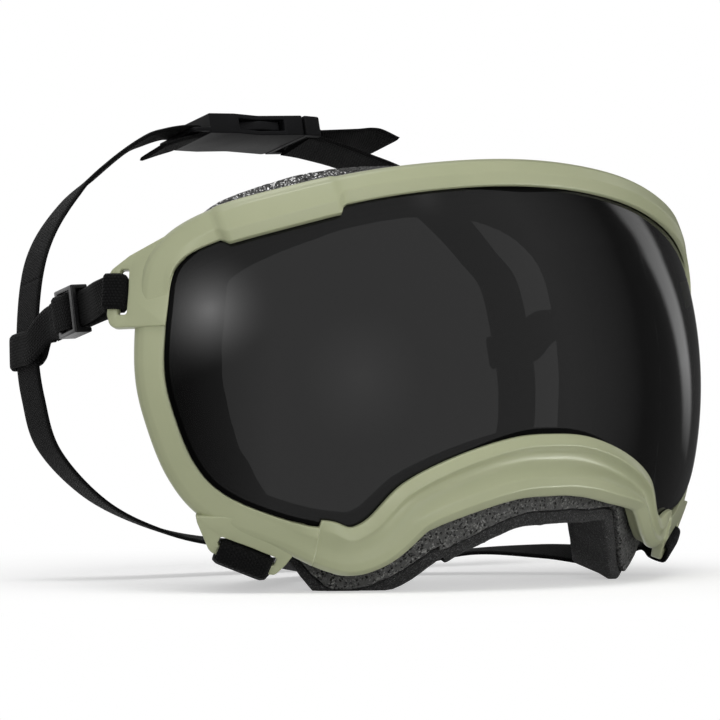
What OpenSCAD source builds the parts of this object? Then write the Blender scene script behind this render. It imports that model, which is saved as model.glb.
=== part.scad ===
// Dog goggles: one domed lens in a moulded frame, a two-layer foam face seal,
// and a webbing harness with two sliders and a side-release buckle.
// The front faces -Y, the dog's right side is -X and +Z is up. Millimetres.

/* [Lens] */
// Radius of the dome that the lens's outer face lies on
lens_r = 123; // [118:1:130]
// Half of the lens window's width
lens_half_w = 94.6; // [90:0.2:98]
// Height of the window's top edge above the dome's centre
lens_top = 54.4; // [50:0.2:58]
// Depth of the window's lowest points below the dome's centre
lens_drop = 35.4; // [32:0.2:38]
// Rise of the nose arch above those lowest points
nose_rise = 24; // [18:0.5:27]
// Thickness of the lens
lens_t = 2.2; // [1.8:0.1:2.8]

/* [Frame] */
// Width of the brow band above the lens
brow_w = 7.9; // [6.5:0.1:9.5]
// Width of the side band beside the lens
side_w = 9.2; // [8:0.1:10]
// Height of the moulded nose bridge at its middle
nose_w = 17; // [14:0.2:19]
// Height of the frame's crown above the lens face
crown_h = 3.0; // [2.6:0.1:3.6]
// Depth of the channel along the nose bridge
channel_d = 2.4; // [1:0.1:3]
// Width of the sloped lip beside the lens
lip_slope = 2.8; // [2:0.1:3.2]
// Depth of the skirt that runs back from the frame to the foam
skirt_d = 9; // [7:0.5:12]
// How far the lens reaches under the frame's lip
lens_grip = 2.6; // [2:0.1:3]
// Length of the raised bare plate on the brow
plate_len = 27; // [20:1:34]
// How far the plate overhangs the lens
plate_over = 2.4; // [1:0.1:3]

/* [Foam] */
// Thickness of the coarse foam layer next to the frame
foam_base_t = 17; // [12:0.5:20]
// Thickness of the fine foam layer that meets the face
foam_face_t = 11; // [6:0.5:13]
// How far the foam reaches past the nose bridge towards the muzzle
foam_nose = 9.5; // [8:0.5:11]

/* [Webbing] */
// Width of the head strap and the chin strap
wide_web = 14.6; // [12:0.1:15.5]
// Width of the short temple straps
narrow_web = 9.6; // [8:0.1:10.4]
// Thickness of the webbing
web_t = 1.2; // [1:0.05:1.3]

/* [Tabs and slots] */
// Thickness of the strap tabs
tab_t = 3.0; // [2.6:0.1:3.4]
// Width of the strap slots
slot_w = 2.6; // [2.2:0.1:3]
// Width of the bar that a strap goes round
bar_w = 2.9; // [2.5:0.1:3.2]

/* [Buckle] */
// Length of the buckle's socket
socket_len = 38.5; // [37:0.5:42]
// Thickness of the buckle
buckle_t = 5.8; // [5.4:0.1:6.6]
// Half width of the socket at its mouth
socket_half_w = 10.6; // [10.2:0.1:12]

/* [Hidden] */
$fn = 48;
// clearance between pieces that seat on each other
gap = 0.3;
// centre of the lens dome in the part's frame
lens_centre = [0, 54.7, 52.9];
// gasket between the lens and the lip
gasket_t = 0.7;
seat_gap = 0.1;
lip_base = seat_gap * 2;
lip_t = 1.3;
groove = lens_grip + 0.4;
flange_in = 3.2;
flange_t = 2.2;
flange_top = -lens_t - 4 * seat_gap - gasket_t;
edge_round = 1.7;
skirt_wall = 2.0;

function unit(v) = v / norm(v);
function mix(a, b, t) = a + (b - a) * t;
function clamp01(t) = max(0, min(1, t));
function smooth(t) = let(u = clamp01(t)) u * u * (3 - 2 * u);
function flip(p) = [-p[0], p[1], p[2]];

// heights on the window's outline: above the centre, below it, and on the nose arch
function above(k) = lens_top * k;
function below(k) = -lens_drop * k;
function on_arch(k) = -lens_drop + nose_rise * k;

// Half outline of the lens window from the top centre round to the nose.
// Each row: x, z, band width, share of the nose channel, foam spread past the band,
// share of the sunk side band (there the lens's edge is bare and the band lies behind it),
// share of the full skirt depth, share of the foam's spread that its front edge already has,
// foam spread on the dog's right side, share of the foam's full depth.
half_rows = [
    [0.000 * lens_half_w, above(1.000), brow_w, 0, 0.5, 0, 1, 0, 0.5, 1],
    [0.225 * lens_half_w, above(0.983), brow_w, 0, 2.4, 0, 1, 0, 2.4, 1],
    [0.455 * lens_half_w, above(0.930), brow_w + 0.3, 0, 4.6, 0, 1, 0, 4.6, 1],
    [0.655 * lens_half_w, above(0.845), brow_w + 0.7, 0, 5.0, 0, 1, 0, 5.0, 1],
    [0.845 * lens_half_w, above(0.728), brow_w + 1.3, 0, 2.8, 0.1, 1, 0, 2.8, 1],
    [0.948 * lens_half_w, above(0.600), brow_w + 1.1, 0, 0.5, 0.5, 1, 0, 0.5, 1],
    [0.984 * lens_half_w, above(0.380), side_w + 0.4, 0, -1.6, 1, 1, 0, -1.6, 1],
    [1.000 * lens_half_w, above(0.110), side_w, 0, -2, 1, 1, 0, -2, 1],
    [0.982 * lens_half_w, below(0.17), side_w, 0, -2, 1, 1, 0, -2, 1],
    [0.935 * lens_half_w, below(0.53), side_w + 0.2, 0, -2, 1, 0.95, 0, -2, 1],
    [0.862 * lens_half_w, below(0.765), side_w + 0.6, 0, -1.2, 0.9, 0.8, 0, -1.2, 0.97],
    [0.730 * lens_half_w, below(0.935), nose_w - 7.8, 0, 3, 0.7, 0.5, 0.5, 3, 0.78],
    [0.610 * lens_half_w, below(1.000), nose_w - 4.4, 0.2, foam_nose * 1.25, 0, 0.2, 1, foam_nose * 1.2, 0.62],
    [0.541 * lens_half_w, on_arch(0.06), nose_w - 2.8, 0.45, foam_nose * 0.72, 0, 0.1, 1, foam_nose * 1.3, 0.58],
    [0.455 * lens_half_w, on_arch(0.47), nose_w - 1.5, 0.85, foam_nose * 0.47, 0, 0.1, 1, foam_nose * 1.68, 0.6],
    [0.316 * lens_half_w, on_arch(0.76), nose_w - 0.3, 1, foam_nose * 0.8, 0, 0.1, 1, foam_nose * 1.58, 0.68],
    [0.145 * lens_half_w, on_arch(0.958), nose_w, 1, foam_nose * 1.12, 0, 0.1, 1, foam_nose * 1.42, 0.7],
    [0, on_arch(1.000), nose_w, 1, foam_nose * 1.22, 0, 0.1, 1, foam_nose * 1.22, 0.7]
];
last_row = len(half_rows) - 1;
outline_rows = concat(half_rows,
    [for (i = [last_row - 1:-1:1]) let(r = half_rows[i])
    [-r[0], r[1], r[2], r[3], r[8], r[5], r[6], r[7], r[8], r[9]]]);
rows_n = len(outline_rows);

// Catmull-Rom blend of four rows
function blend4(a, b, c, d, t) =
    0.5 * (2 * b + (c - a) * t + (2 * a - 5 * b + 4 * c - d) * t * t
    + (3 * b - a - 3 * c + d) * t * t * t);
function outline_at(k, t) =
    blend4(outline_rows[(k - 1 + rows_n) % rows_n], outline_rows[k],
    outline_rows[(k + 1) % rows_n], outline_rows[(k + 2) % rows_n], t);

// the plate lies on the brow over the dog's right eye
plate_mid_x = -0.725 * lens_half_w;
plate_ramp = 1.6;
function plate_share(x, z) = z < 0 ? 0 :
    smooth((x - plate_mid_x + plate_len / 2) / plate_ramp + 0.5)
    - smooth((x - plate_mid_x - plate_len / 2) / plate_ramp + 0.5);
// stations: three to a row, and more where the plate ends
fine_rows = [30, 31, 32];
function steps_in(k, n, fine) = len(search(k, fine_rows)) > 0 ? fine : n;
function stations(n, fine) = [for (k = [0:rows_n - 1]) let(m = steps_in(k, n, fine))
    for (i = [0:m - 1]) outline_at(k, i / m)];

// point on the dome, measured from the dome's centre
function dome_pt(x, z) = [x, -sqrt(lens_r * lens_r - x * x - z * z), z];
// local frame of one station: point, direction away from the lens, direction to the back
function station_frame(s, i) = let(n = len(s), p = dome_pt(s[i][0], s[i][1]),
    a = s[(i - 1 + n) % n], b = s[(i + 1) % n],
    along = unit(dome_pt(b[0], b[1]) - dome_pt(a[0], a[1])),
    out = unit(cross(p, along)), back = unit([-p[0], -p[1], 0]))
    [p, out, back];
// point at distance a from the lens edge, height b over the dome, depth d to the back
function place(f, q) = (lens_r + q[1]) * unit(f[0] + q[0] * f[1]) + q[2] * f[2];

// Closed ring: one section of points at each station, joined station to station
module ring(sections) {
    n = len(sections);
    m = len(sections[0]);
    points = [for (s = sections) each s];
    faces = [for (i = [0:n - 1]) for (j = [0:m - 1])
        let(a = i * m + j, b = i * m + (j + 1) % m,
        c = ((i + 1) % n) * m + (j + 1) % m, d = ((i + 1) % n) * m + j)
        each [[a, b, c], [a, c, d]]];
    translate(lens_centre) polyhedron(points, faces, convexity = 10);
}

// the lip draws back from over the lens first, and only then sinks behind its edge
bare_from = 0.4;
function bare(sunk) = clamp01(sunk / bare_from);
function sink(sunk) = clamp01((sunk - bare_from) / (1 - bare_from));
// Cross-section of the frame: lip, sloped face, nose channel, rounded edge, skirt, lens groove
function frame_profile(w, share, plate, sunk, deep) = let(
    back = 1.2 + (skirt_d - 1.2) * deep,
    inner = mix(-plate * plate_over, gap, bare(sunk)), low = sunk * (crown_h + 0.6),
    h = crown_h + 0.2 * share + 0.9 * plate - low, lip = mix(lip_base, -1.2, sink(sunk)),
    s0 = mix(lip_slope, 1.2, sunk), s1 = w - edge_round, c = channel_d * share,
    wall_at = mix(groove, gap + 0.1, bare(sunk)))
    [[inner, lip, 0],
    [inner, max(lip + 0.4, mix(lip_base + lip_t + 0.8 * plate, h - 0.2, sunk)), 0],
    [inner + s0, h, 0],
    [mix(s0, s1, 0.22), h - 0.55 * c, 0],
    [mix(s0, s1, 0.42), h - c, 0],
    [mix(s0, s1, 0.60), h - 0.45 * c, 0],
    [mix(s0, s1, 0.72), h, 0],
    [s1, h + 0.4 * share - 0.5 * plate, 0],
    [w - 0.5, h - 0.8, 0],
    [w, crown_h - 2.0 - low, 0],
    [w - 0.8, -1.2 - 0.6 * low, 0],
    [w - 1.6, -1.2, back],
    [w - 1.6 - skirt_wall, -2.2, back],
    [2.2, flange_top - flange_t, 0],
    [-flange_in, flange_top - flange_t, 0],
    [-flange_in, flange_top, 0],
    [wall_at, flange_top, 0],
    [wall_at, lip, 0]];
function frame_sections(s) = [for (i = [0:len(s) - 1]) let(f = station_frame(s, i))
    [for (q = frame_profile(s[i][2], s[i][3], plate_share(s[i][0], s[i][1]), s[i][5], s[i][6]))
        place(f, q)]];

// Corner-rounded polygon from rows of x, y, radius
function rounded(rows, seg = 5) = [for (i = [0:len(rows) - 1]) let(n = len(rows),
    p = [rows[i][0], rows[i][1]], r = rows[i][2],
    a = rows[(i - 1 + n) % n], b = rows[(i + 1) % n],
    u = unit([a[0], a[1]] - p), v = unit([b[0], b[1]] - p),
    half = acos(max(-0.9999, min(0.9999, u * v))) / 2, d = r / tan(half),
    c = p + unit(u + v) * r / sin(half), s = p + u * d, e = p + v * d,
    a0 = atan2(s[1] - c[1], s[0] - c[0]), a1 = atan2(e[1] - c[1], e[0] - c[0]),
    turn = ((a1 - a0 + 540) % 360) - 180)
    each r == 0 ? [p] : [for (k = [0:seg]) c + r * [cos(a0 + turn * k / seg), sin(a0 + turn * k / seg)]]];

// Flat frames on the dome for the tabs, on the dog's left side
upper_dir = [54, 11.5];
lower_dir = [40, -18];
function dome_axes(dir) = let(n = [sin(dir[0]) * cos(dir[1]), -cos(dir[0]) * cos(dir[1]), sin(dir[1])],
    x = [cos(dir[0]), sin(dir[0]), 0]) [x, cross(n, x), n];
function tab_pt(dir, x, y, z) = let(f = dome_axes(dir)) x * f[0] + y * f[1] + (lens_r + z) * f[2];
module on_dome(dir) {
    f = dome_axes(dir);
    m = [[f[0][0], f[1][0], f[2][0], lens_centre[0]], [f[0][1], f[1][1], f[2][1], lens_centre[1]],
        [f[0][2], f[1][2], f[2][2], lens_centre[2]], [0, 0, 0, 1]];
    multmatrix(m) translate([0, 0, lens_r]) children();
}
module both_sides() {
    children();
    mirror([1, 0, 0]) children();
}

// Upper tab: plate with an upright slot and the bar that the temple strap goes round
tab_base = -0.3 - tab_t;
upper_slot_x = 3.2;
upper_bar_x = upper_slot_x + slot_w;
upper_end_x = upper_bar_x + bar_w;
upper_slot_y = 1.6;
upper_slot_len = narrow_web + 2.4;
module upper_tab() {
    on_dome(upper_dir) translate([0, 0, tab_base]) difference() {
        linear_extrude(tab_t) polygon(rounded([[-5, -7.4, 0], [upper_end_x - 1.2, -8, 2.2],
            [upper_end_x, -4.5, 3], [upper_end_x, 7.2, 3], [3.4, 11.4, 5], [-6, 16.6, 0]]));
        translate([upper_slot_x, upper_slot_y - upper_slot_len / 2, -1])
            linear_extrude(tab_t + 2) polygon(rounded([[0, 0, 0.8], [slot_w, 0, 0.8],
            [slot_w, upper_slot_len, 0.8], [0, upper_slot_len, 0.8]]));
    }
}
// Lower tab: its slot slopes down towards the nose
lower_tilt = 22.3;
lower_slot_mid = [0.9, -4.2];
lower_slot_len = wide_web + 1.2;
module lower_tab() {
    lower_half = lower_slot_len / 2;
    on_dome(lower_dir) translate([0, 0, tab_base]) difference() {
        union() {
            linear_extrude(tab_t) polygon(rounded([[14.2, 5.6, 0], [13.9, 3.8, 1], [10.8, -4.4, 3],
                [6, -6.5, 1], [-5, -10.8, 1], [-6.3, -10.9, 1.6], [-9.2, -8.1, 4], [-12.4, -3.7, 3],
                [-17, 0.4, 0], [-12, 2.6, 0], [-2, 5.2, 0]]));
        }
        translate([lower_slot_mid[0], lower_slot_mid[1], -1]) rotate(lower_tilt)
            translate([-lower_half, -slot_w / 2, 0]) linear_extrude(tab_t + 2)
            polygon(rounded([[0, 0, 0.8], [lower_slot_len, 0, 0.8],
            [lower_slot_len, slot_w, 0.8], [0, slot_w, 0.8]]));
    }
}

module frame() {
    color("darkkhaki") union() {
        ring(frame_sections(stations(3, 7)));
        both_sides() {
            upper_tab();
            lower_tab();
        }
    }
}

// how far the lens reaches past the window's outline
function grip_at(sunk) = mix(lens_grip, 0, bare(sunk));
// Cone from the dome's centre through the lens's edge
module window_cone() {
    s = stations(3, 7);
    n = len(s);
    far = -1.6 * lens_r;
    rim = [for (i = [0:n - 1]) let(f = station_frame(s, i), p = f[0] + grip_at(s[i][5]) * f[1])
        p * far / p[1]];
    translate(lens_centre) polyhedron(concat(rim, [[0, 0, 0]]),
        concat([[for (i = [0:n - 1]) i]], [for (i = [0:n - 1]) [(i + 1) % n, i, n]]));
}
// Shell between two radii about the dome's centre
module dome_shell(r_out, r_in) {
    translate(lens_centre) difference() {
        sphere(r_out, $fn = 180);
        sphere(r_in, $fn = 180);
    }
}
module lens() {
    color([0.1, 0.1, 0.11, 0.85]) intersection() {
        dome_shell(lens_r, lens_r - lens_t);
        window_cone();
    }
}
// Gasket: a soft strip between the lens's back and the frame's flange
module lens_gasket() {
    s = stations(3, 7);
    top = -lens_t - seat_gap;
    color([0.05, 0.05, 0.05]) ring([for (i = [0:len(s) - 1]) let(f = station_frame(s, i),
        a = grip_at(s[i][5]) - 0.2)
        [place(f, [a, top - gasket_t, 0]), place(f, [-1.4, top - gasket_t, 0]),
        place(f, [-1.4, top, 0]), place(f, [a, top, 0])]]);
}

// how much the nose opening in the foam widens for each millimetre towards the face
foam_draw = 0.5;
// height of the fine foam that shows below the coarse foam along the nose
fine_band = 5.6;
// Foam sections follow the frame's back edge. A depth t behind that edge has the share p of
// the spread; towards the nose the front edge has nearly all of it (full).
function spread_at(r, t, p) = r[2] - 1.4 + (r[4] + 1) * mix(p, 0.97 + 0.03 * p, r[7])
    - foam_draw * r[9] * r[7] * t;
function depth_at(r, t) = 1.2 + (skirt_d - 1.2) * r[6] + gap + t * r[9];
function base_profile(r) = let(t1 = foam_base_t, band = fine_band * r[7],
    o0 = spread_at(r, 0, 0.1) - band, o1 = spread_at(r, t1, 0.65) - band,
    d0 = depth_at(r, 0), d1 = depth_at(r, t1), i0 = -4.2, i1 = -5.3)
    [[o0 - 0.5, -2.4, d0], [mix(o0, o1, 0.5) + 0.5 * (1 - r[7]), -2.4, mix(d0, d1, 0.5)],
    [o1, -2.4, d1], [mix(o1, i1, 0.5), -2.4, d1], [i1, -4.6, d1], [i0, -4.6, d0]];
// The fine layer lies behind the coarse one, and along the nose it also comes forward under it
function face_profile(r) = let(t1 = foam_base_t, t2 = foam_base_t + foam_face_t,
    band = fine_band * r[7], o0 = spread_at(r, 0, 0.1) - band + 0.5,
    o1 = spread_at(r, t1, 0.65) - band + 0.5, dm = depth_at(r, t1) + 0.2,
    f = mix(0.96, 0.12, r[7]), df = mix(depth_at(r, 0), dm, f), of = mix(o0, o1, f),
    i1 = -5.4, i2 = -6, step = 0.6 + (fine_band - 0.8) * r[7])
    [[of + step, -2.4, df], [spread_at(r, t2, 1) + 0.6 * (1 - r[7]), -2.4, depth_at(r, t2)],
    [mix(of, i2, 0.5), -2.4, depth_at(r, t2)], [i2, -4.6, depth_at(r, t2)], [i1, -4.6, dm],
    [o1, -2.4, dm], [of, -2.4, df]];
module floor_cut() {
    translate([-150, -150, -40]) cube([300, 300, 40]);
}
module foam_base() {
    color([0.3, 0.3, 0.31]) difference() {
        s = stations(2, 2);
        ring([for (i = [0:len(s) - 1]) let(f = station_frame(s, i))
            [for (q = base_profile(s[i])) place(f, q)]]);
        floor_cut();
    }
}
module foam_face() {
    color([0.16, 0.16, 0.17]) difference() {
        s = stations(2, 2);
        ring([for (i = [0:len(s) - 1]) let(f = station_frame(s, i))
            [for (q = face_profile(s[i])) place(f, q)]]);
        floor_cut();
    }
}

// Webbing: rows of centre point and width direction, in a smooth curve
function row_at(rows, k, t) = let(n = len(rows))
    blend4(rows[max(0, k - 1)], rows[k], rows[min(n - 1, k + 1)], rows[min(n - 1, k + 2)], t);
function ribbon_path(rows, sub) = concat([for (k = [0:len(rows) - 2]) for (i = [0:sub - 1])
    row_at(rows, k, i / sub)], [rows[len(rows) - 1]]);
function at3(r) = [r[0], r[1], r[2]];
function wid3(r) = [r[3], r[4], r[5]];
function ribbon_section(path, i, w, t) = let(n = len(path), p = at3(path[i]),
    along = unit(at3(path[min(n - 1, i + 1)]) - at3(path[max(0, i - 1)])),
    normal = unit(cross(along, wid3(path[i]))), side = cross(normal, along))
    [p - side * w / 2 - normal * t / 2, p + side * w / 2 - normal * t / 2,
    p + side * w / 2 + normal * t / 2, p - side * w / 2 + normal * t / 2];
module ribbon(rows, w, t, sub = 4) {
    path = ribbon_path(rows, sub);
    n = len(path);
    points = [for (i = [0:n - 1]) each ribbon_section(path, i, w, t)];
    sides = [for (i = [0:n - 2]) for (j = [0:3])
        let(a = i * 4 + j, b = i * 4 + (j + 1) % 4, c = a + 4, d = b + 4)
        each [[a, d, b], [a, c, d]]];
    translate(lens_centre) polyhedron(points,
        concat(sides, [[0, 1, 2], [0, 2, 3]],
        [[4 * n - 4, 4 * n - 2, 4 * n - 3], [4 * n - 4, 4 * n - 1, 4 * n - 2]]), convexity = 10);
}

// Temple strap on the dog's left: a straight run from the upper tab to the head strap
temple_start = [97.6, -62.5, 25.2];
temple_dir = unit([-0.2, 0.965, -0.17]);
temple_wid = unit([0, 0.2, 0.98]);
temple_out = unit(cross(temple_dir, temple_wid));
slider_at = 24;
layer_lift = web_t + 2 * gap + 1.5;
function temple_pt(k, lift) = temple_start + k * temple_dir + lift * temple_out;
function temple_row(k, lift) = concat(temple_pt(k, lift), temple_wid);
upper_wid = dome_axes(upper_dir)[1];
function upper_row(x, z) = concat(tab_pt(upper_dir, x, upper_slot_y, z), upper_wid);
wrap_out = tab_base + tab_t + gap + web_t / 2;
wrap_in = tab_base - gap - web_t / 2;
// how far the strap's middle stays from a bar's corner, each way
corner_off = web_t / 2 + 0.1;
temple_rows = [temple_row(slider_at + 15, layer_lift), temple_row(slider_at + 8, layer_lift),
    temple_row(slider_at, layer_lift), temple_row(slider_at - 9, layer_lift),
    temple_row(slider_at - 18, layer_lift + 1.2),
    upper_row(upper_end_x + 1.0, tab_base + tab_t * 0.5),
    upper_row(upper_end_x + corner_off, tab_base + tab_t + corner_off),
    upper_row(upper_bar_x + bar_w / 2, wrap_out + 0.1),
    upper_row(upper_bar_x - corner_off, tab_base + tab_t + corner_off),
    upper_row(upper_bar_x - slot_w / 2, tab_base + tab_t / 2),
    upper_row(upper_bar_x - corner_off, tab_base - corner_off),
    upper_row(upper_bar_x + bar_w / 2, wrap_in - 0.1), upper_row(upper_end_x - 0.2, wrap_in - 0.9),
    temple_row(6, 0), temple_row(14, 0), temple_row(28, 0), temple_row(43.7, 0)];
module temple_strap() {
    color([0.09, 0.09, 0.1]) ribbon(temple_rows, narrow_web, web_t, 3);
}
module temple_strap_left() {
    temple_strap();
}
module temple_strap_right() {
    mirror([1, 0, 0]) temple_strap();
}

// Head strap: a loop behind the goggles; the rows run down the dog's left side
head_rows = [
    [27.9, 5, 72.3, 0, 0.97, -0.24],
    [31.5, 5, 72.2, 0, 0.97, -0.24],
    [38, 4.6, 70.8, 0, 0.95, -0.3],
    [46, 3.5, 68.2, 0, 0.93, -0.36],
    [59.5, 0.5, 60.6, 0, 0.89, -0.46],
    [68.7, 2, 52.6, -0.03, 0.93, -0.36],
    [78.3, 1, 41.4, -0.1, 0.965, -0.24],
    [84.3, -1.6, 29, -0.15, 0.975, -0.15],
    [87.2, -4, 10.8, -0.17, 0.98, -0.1],
    [86.9, -6.5, -3, -0.15, 0.985, -0.05],
    [83.0, -8.5, -16.8, -0.12, 0.985, 0.04],
    [69.0, -10, -30.2, -0.06, 0.98, 0.14],
    [49, -8, -38.6, 0, 0.98, 0.16],
    [28, -6, -43.2, 0, 0.99, 0.14],
    [0, -4, -45, 0, 1, 0.1]
];
// the dog's left side leaves the plug from below, so it starts lower
left_rows = [
    [12.5, 5, 69.7, 0, 0.93, -0.36],
    [20, 5, 68.8, 0, 0.93, -0.36],
    [33.6, 4.5, 65.6, 0, 0.95, -0.3],
    [46, 3, 61.2, 0, 0.94, -0.36],
    [58, 1, 54.4, 0, 0.9, -0.44],
    [68, 1.5, 47.4, -0.05, 0.93, -0.34],
    [77.5, 0.6, 38.2, -0.1, 0.965, -0.22],
    [84.0, -1.45, 29.9, -0.15, 0.975, -0.15]
];
function mirror_rows(rows) = [for (i = [len(rows) - 1:-1:0]) let(r = rows[i])
    [-r[0], r[1], r[2], -r[3], r[4], r[5]]];
function part_rows(rows, a, b) = [for (i = [a:b]) rows[i]];
keeper_row = 8;
head_last = len(head_rows) - 1;
module web(rows, sub = 4) {
    color([0.09, 0.09, 0.1]) ribbon(rows, wide_web, web_t, sub);
}
// from the keeper on the dog's left under the throat to the keeper on the right
module head_strap_lower() {
    web(concat(part_rows(head_rows, 7, head_last),
        part_rows(mirror_rows(head_rows), 1, head_last - 7)), 3);
}
module head_strap_left() {
    web(left_rows, 4);
}
module head_strap_right() {
    web(mirror_rows(concat(part_rows(head_rows, 0, 6), [part_rows(left_rows, 7, 7)[0]])), 4);
}

// Keeper: the temple strap's end, folded round the head strap and stitched to itself
keeper_mid = at3(head_rows[keeper_row]);
keeper_wid = unit(at3(head_rows[keeper_row - 1]) - at3(head_rows[keeper_row + 1]));
keeper_out = unit(cross(wid3(head_rows[keeper_row]), keeper_wid));
keeper_along = unit(cross(keeper_wid, keeper_out));
function keeper_row_at(along, out) =
    concat(keeper_mid + along * keeper_along + out * keeper_out, keeper_wid);
keeper_off = web_t + gap + 0.4;
keeper_half = wide_web / 2;
keeper_rows = [temple_row(44.7, 0), temple_row(50, 0), keeper_row_at(-keeper_half + 1.5, -keeper_off),
    keeper_row_at(0, -keeper_off), keeper_row_at(keeper_half - 1.2, -keeper_off),
    keeper_row_at(keeper_half + 1.3, 0), keeper_row_at(keeper_half - 1.2, keeper_off),
    keeper_row_at(0, keeper_off), keeper_row_at(-keeper_half + 1, keeper_off),
    keeper_row_at(-keeper_half - 6, keeper_off + 0.8)];
module keeper() {
    color([0.1, 0.1, 0.11]) ribbon(keeper_rows, narrow_web, web_t, 3);
}
module keeper_left() {
    keeper();
}
module keeper_right() {
    mirror([1, 0, 0]) keeper();
}

// Slider: two end bars over the strap, one bar under it, side rails
slider_len = 11.5;
slider_rail = 1.3;
slider_bar = 2.1;
slider_half_w = narrow_web / 2 + 0.4 + slider_rail;
module slider() {
    m = [[temple_dir[0], temple_wid[0], temple_out[0], 0], [temple_dir[1], temple_wid[1], temple_out[1], 0],
        [temple_dir[2], temple_wid[2], temple_out[2], 0], [0, 0, 0, 1]];
    clear = web_t / 2 + gap;
    bar_t = 1.5;
    color([0.07, 0.07, 0.07]) translate(lens_centre + temple_pt(slider_at, layer_lift)) multmatrix(m) {
        for (s = [-1, 1]) translate([-slider_len / 2, s * (slider_half_w - slider_rail / 2) - slider_rail / 2,
            -clear - bar_t]) cube([slider_len, slider_rail, 2 * clear + 2 * bar_t]);
        for (s = [-1, 1]) translate([s * (slider_len / 2 - slider_bar / 2), -slider_half_w, clear + bar_t / 2])
            rotate([-90, 0, 0]) scale([1, 1, 1]) cylinder(h = 2 * slider_half_w, d = bar_t, $fn = 24);
        for (s = [-1, 1]) translate([s * (slider_len / 2 - slider_bar / 2) - slider_bar / 2, -slider_half_w,
            clear]) cube([slider_bar, 2 * slider_half_w, bar_t]);
        translate([-slider_bar / 2, -slider_half_w, -clear - bar_t])
            cube([slider_bar, 2 * slider_half_w, bar_t]);
    }
}
module slider_left() {
    slider();
}
module slider_right() {
    mirror([1, 0, 0]) slider();
}

// Chin strap between the lower tabs; each end goes round its bar from the front
lower_axes = dome_axes(lower_dir);
lower_wid = cos(lower_tilt) * lower_axes[0] + sin(lower_tilt) * lower_axes[1];
lower_down = sin(lower_tilt) * lower_axes[0] - cos(lower_tilt) * lower_axes[1];
function lower_row(v, z) = concat(tab_pt(lower_dir, lower_slot_mid[0], lower_slot_mid[1], z)
    + v * lower_down, lower_wid);
bar_mid = slot_w / 2 + bar_w / 2;
bar_far = slot_w / 2 + bar_w;
chin_half = [lower_row(1.6, wrap_in - 0.6), lower_row(0.4, tab_base - 0.3),
    lower_row(0.2, tab_base + tab_t * 0.55),
    lower_row(slot_w / 2 - corner_off, tab_base + tab_t + corner_off),
    lower_row(bar_mid, wrap_out + 0.1),
    lower_row(bar_far + corner_off, tab_base + tab_t + corner_off - 0.1),
    lower_row(bar_far + gap + web_t / 2 + 0.1, tab_base + tab_t / 2),
    lower_row(bar_far + corner_off, tab_base - corner_off),
    lower_row(bar_far - 0.4, wrap_in - 3.2),
    [66, -72, -47.6, 0.75, 0.5, 0.36], [52, -59, -46.6, 0.6, 0.75, 0.2], [35, -46, -46.8, 0.42, 0.9, 0],
    [16, -37, -50.4, 0.2, 0.98, 0]];
chin_rows = concat(chin_half, [[0, -34, web_t / 2 - lens_centre[2], 0, 1, 0]], mirror_rows(chin_half));
module chin_strap() {
    color([0.09, 0.09, 0.1]) ribbon(chin_rows, wide_web, web_t, 4);
}

// Buckle frame: x along the strap, y across it, z away from the head
buckle_at = [0, 5, 72.6];
buckle_tilt = -14;
module buckle_frame() {
    translate(lens_centre + buckle_at) rotate([buckle_tilt, 0, 0]) children();
}
socket_x0 = -30.5;
socket_x1 = socket_x0 + socket_len;
ladder_bar = 2.4;
ladder_slot = 3.2;
web_half = wide_web / 2 + 0.4;
wall = 1.3;
arm_t = 2.2;
window_x0 = socket_x1 - 22.8;
window_x1 = socket_x1 - 6.7;
function socket_outline() = rounded([[socket_x0, -9, 1.5], [socket_x1 - 30.5, -9.6, 3],
    [socket_x1 - 24.5, -10, 3], [socket_x1 - 15, -8.6, 8], [socket_x1 - 6, -9.8, 6],
    [socket_x1, -socket_half_w, 1.2], [socket_x1, socket_half_w, 1.2], [socket_x1 - 6, 9.8, 6],
    [socket_x1 - 15, 8.6, 8], [socket_x1 - 24.5, 10, 3], [socket_x1 - 30.5, 9.6, 3],
    [socket_x0, 9, 1.5]]);
module buckle_socket() {
    inner_t = buckle_t - 2 * wall;
    color([0.06, 0.06, 0.07]) buckle_frame() difference() {
        translate([0, 0, -buckle_t / 2]) linear_extrude(buckle_t) polygon(socket_outline());
        translate([window_x0 - 1, -8.6 + wall, -inner_t / 2])
            cube([socket_x1 - window_x0 + 2, 2 * (8.6 - wall), inner_t]);
        translate([window_x0, -20, -inner_t / 2]) cube([window_x1 - window_x0, 40, inner_t]);
        translate([socket_x0 + ladder_bar, -web_half, -10]) cube([ladder_slot, 2 * web_half, 20]);
        translate([socket_x0 - 1, -20, -1.2]) cube([ladder_bar + ladder_slot + 1, 40, 5]);
        translate([socket_x0 - 1, -20, -7.3]) cube([ladder_bar + ladder_slot + 1, 40, 5]);
    }
}
plug_x0 = socket_x1 + gap;
plug_len = 6.4;
plug_bar = 2.2;
plug_slot = 2.4;
tongue_len = 15;
arm_root_y = 5.8;
inner_half_t = buckle_t / 2 - wall - gap;
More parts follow.
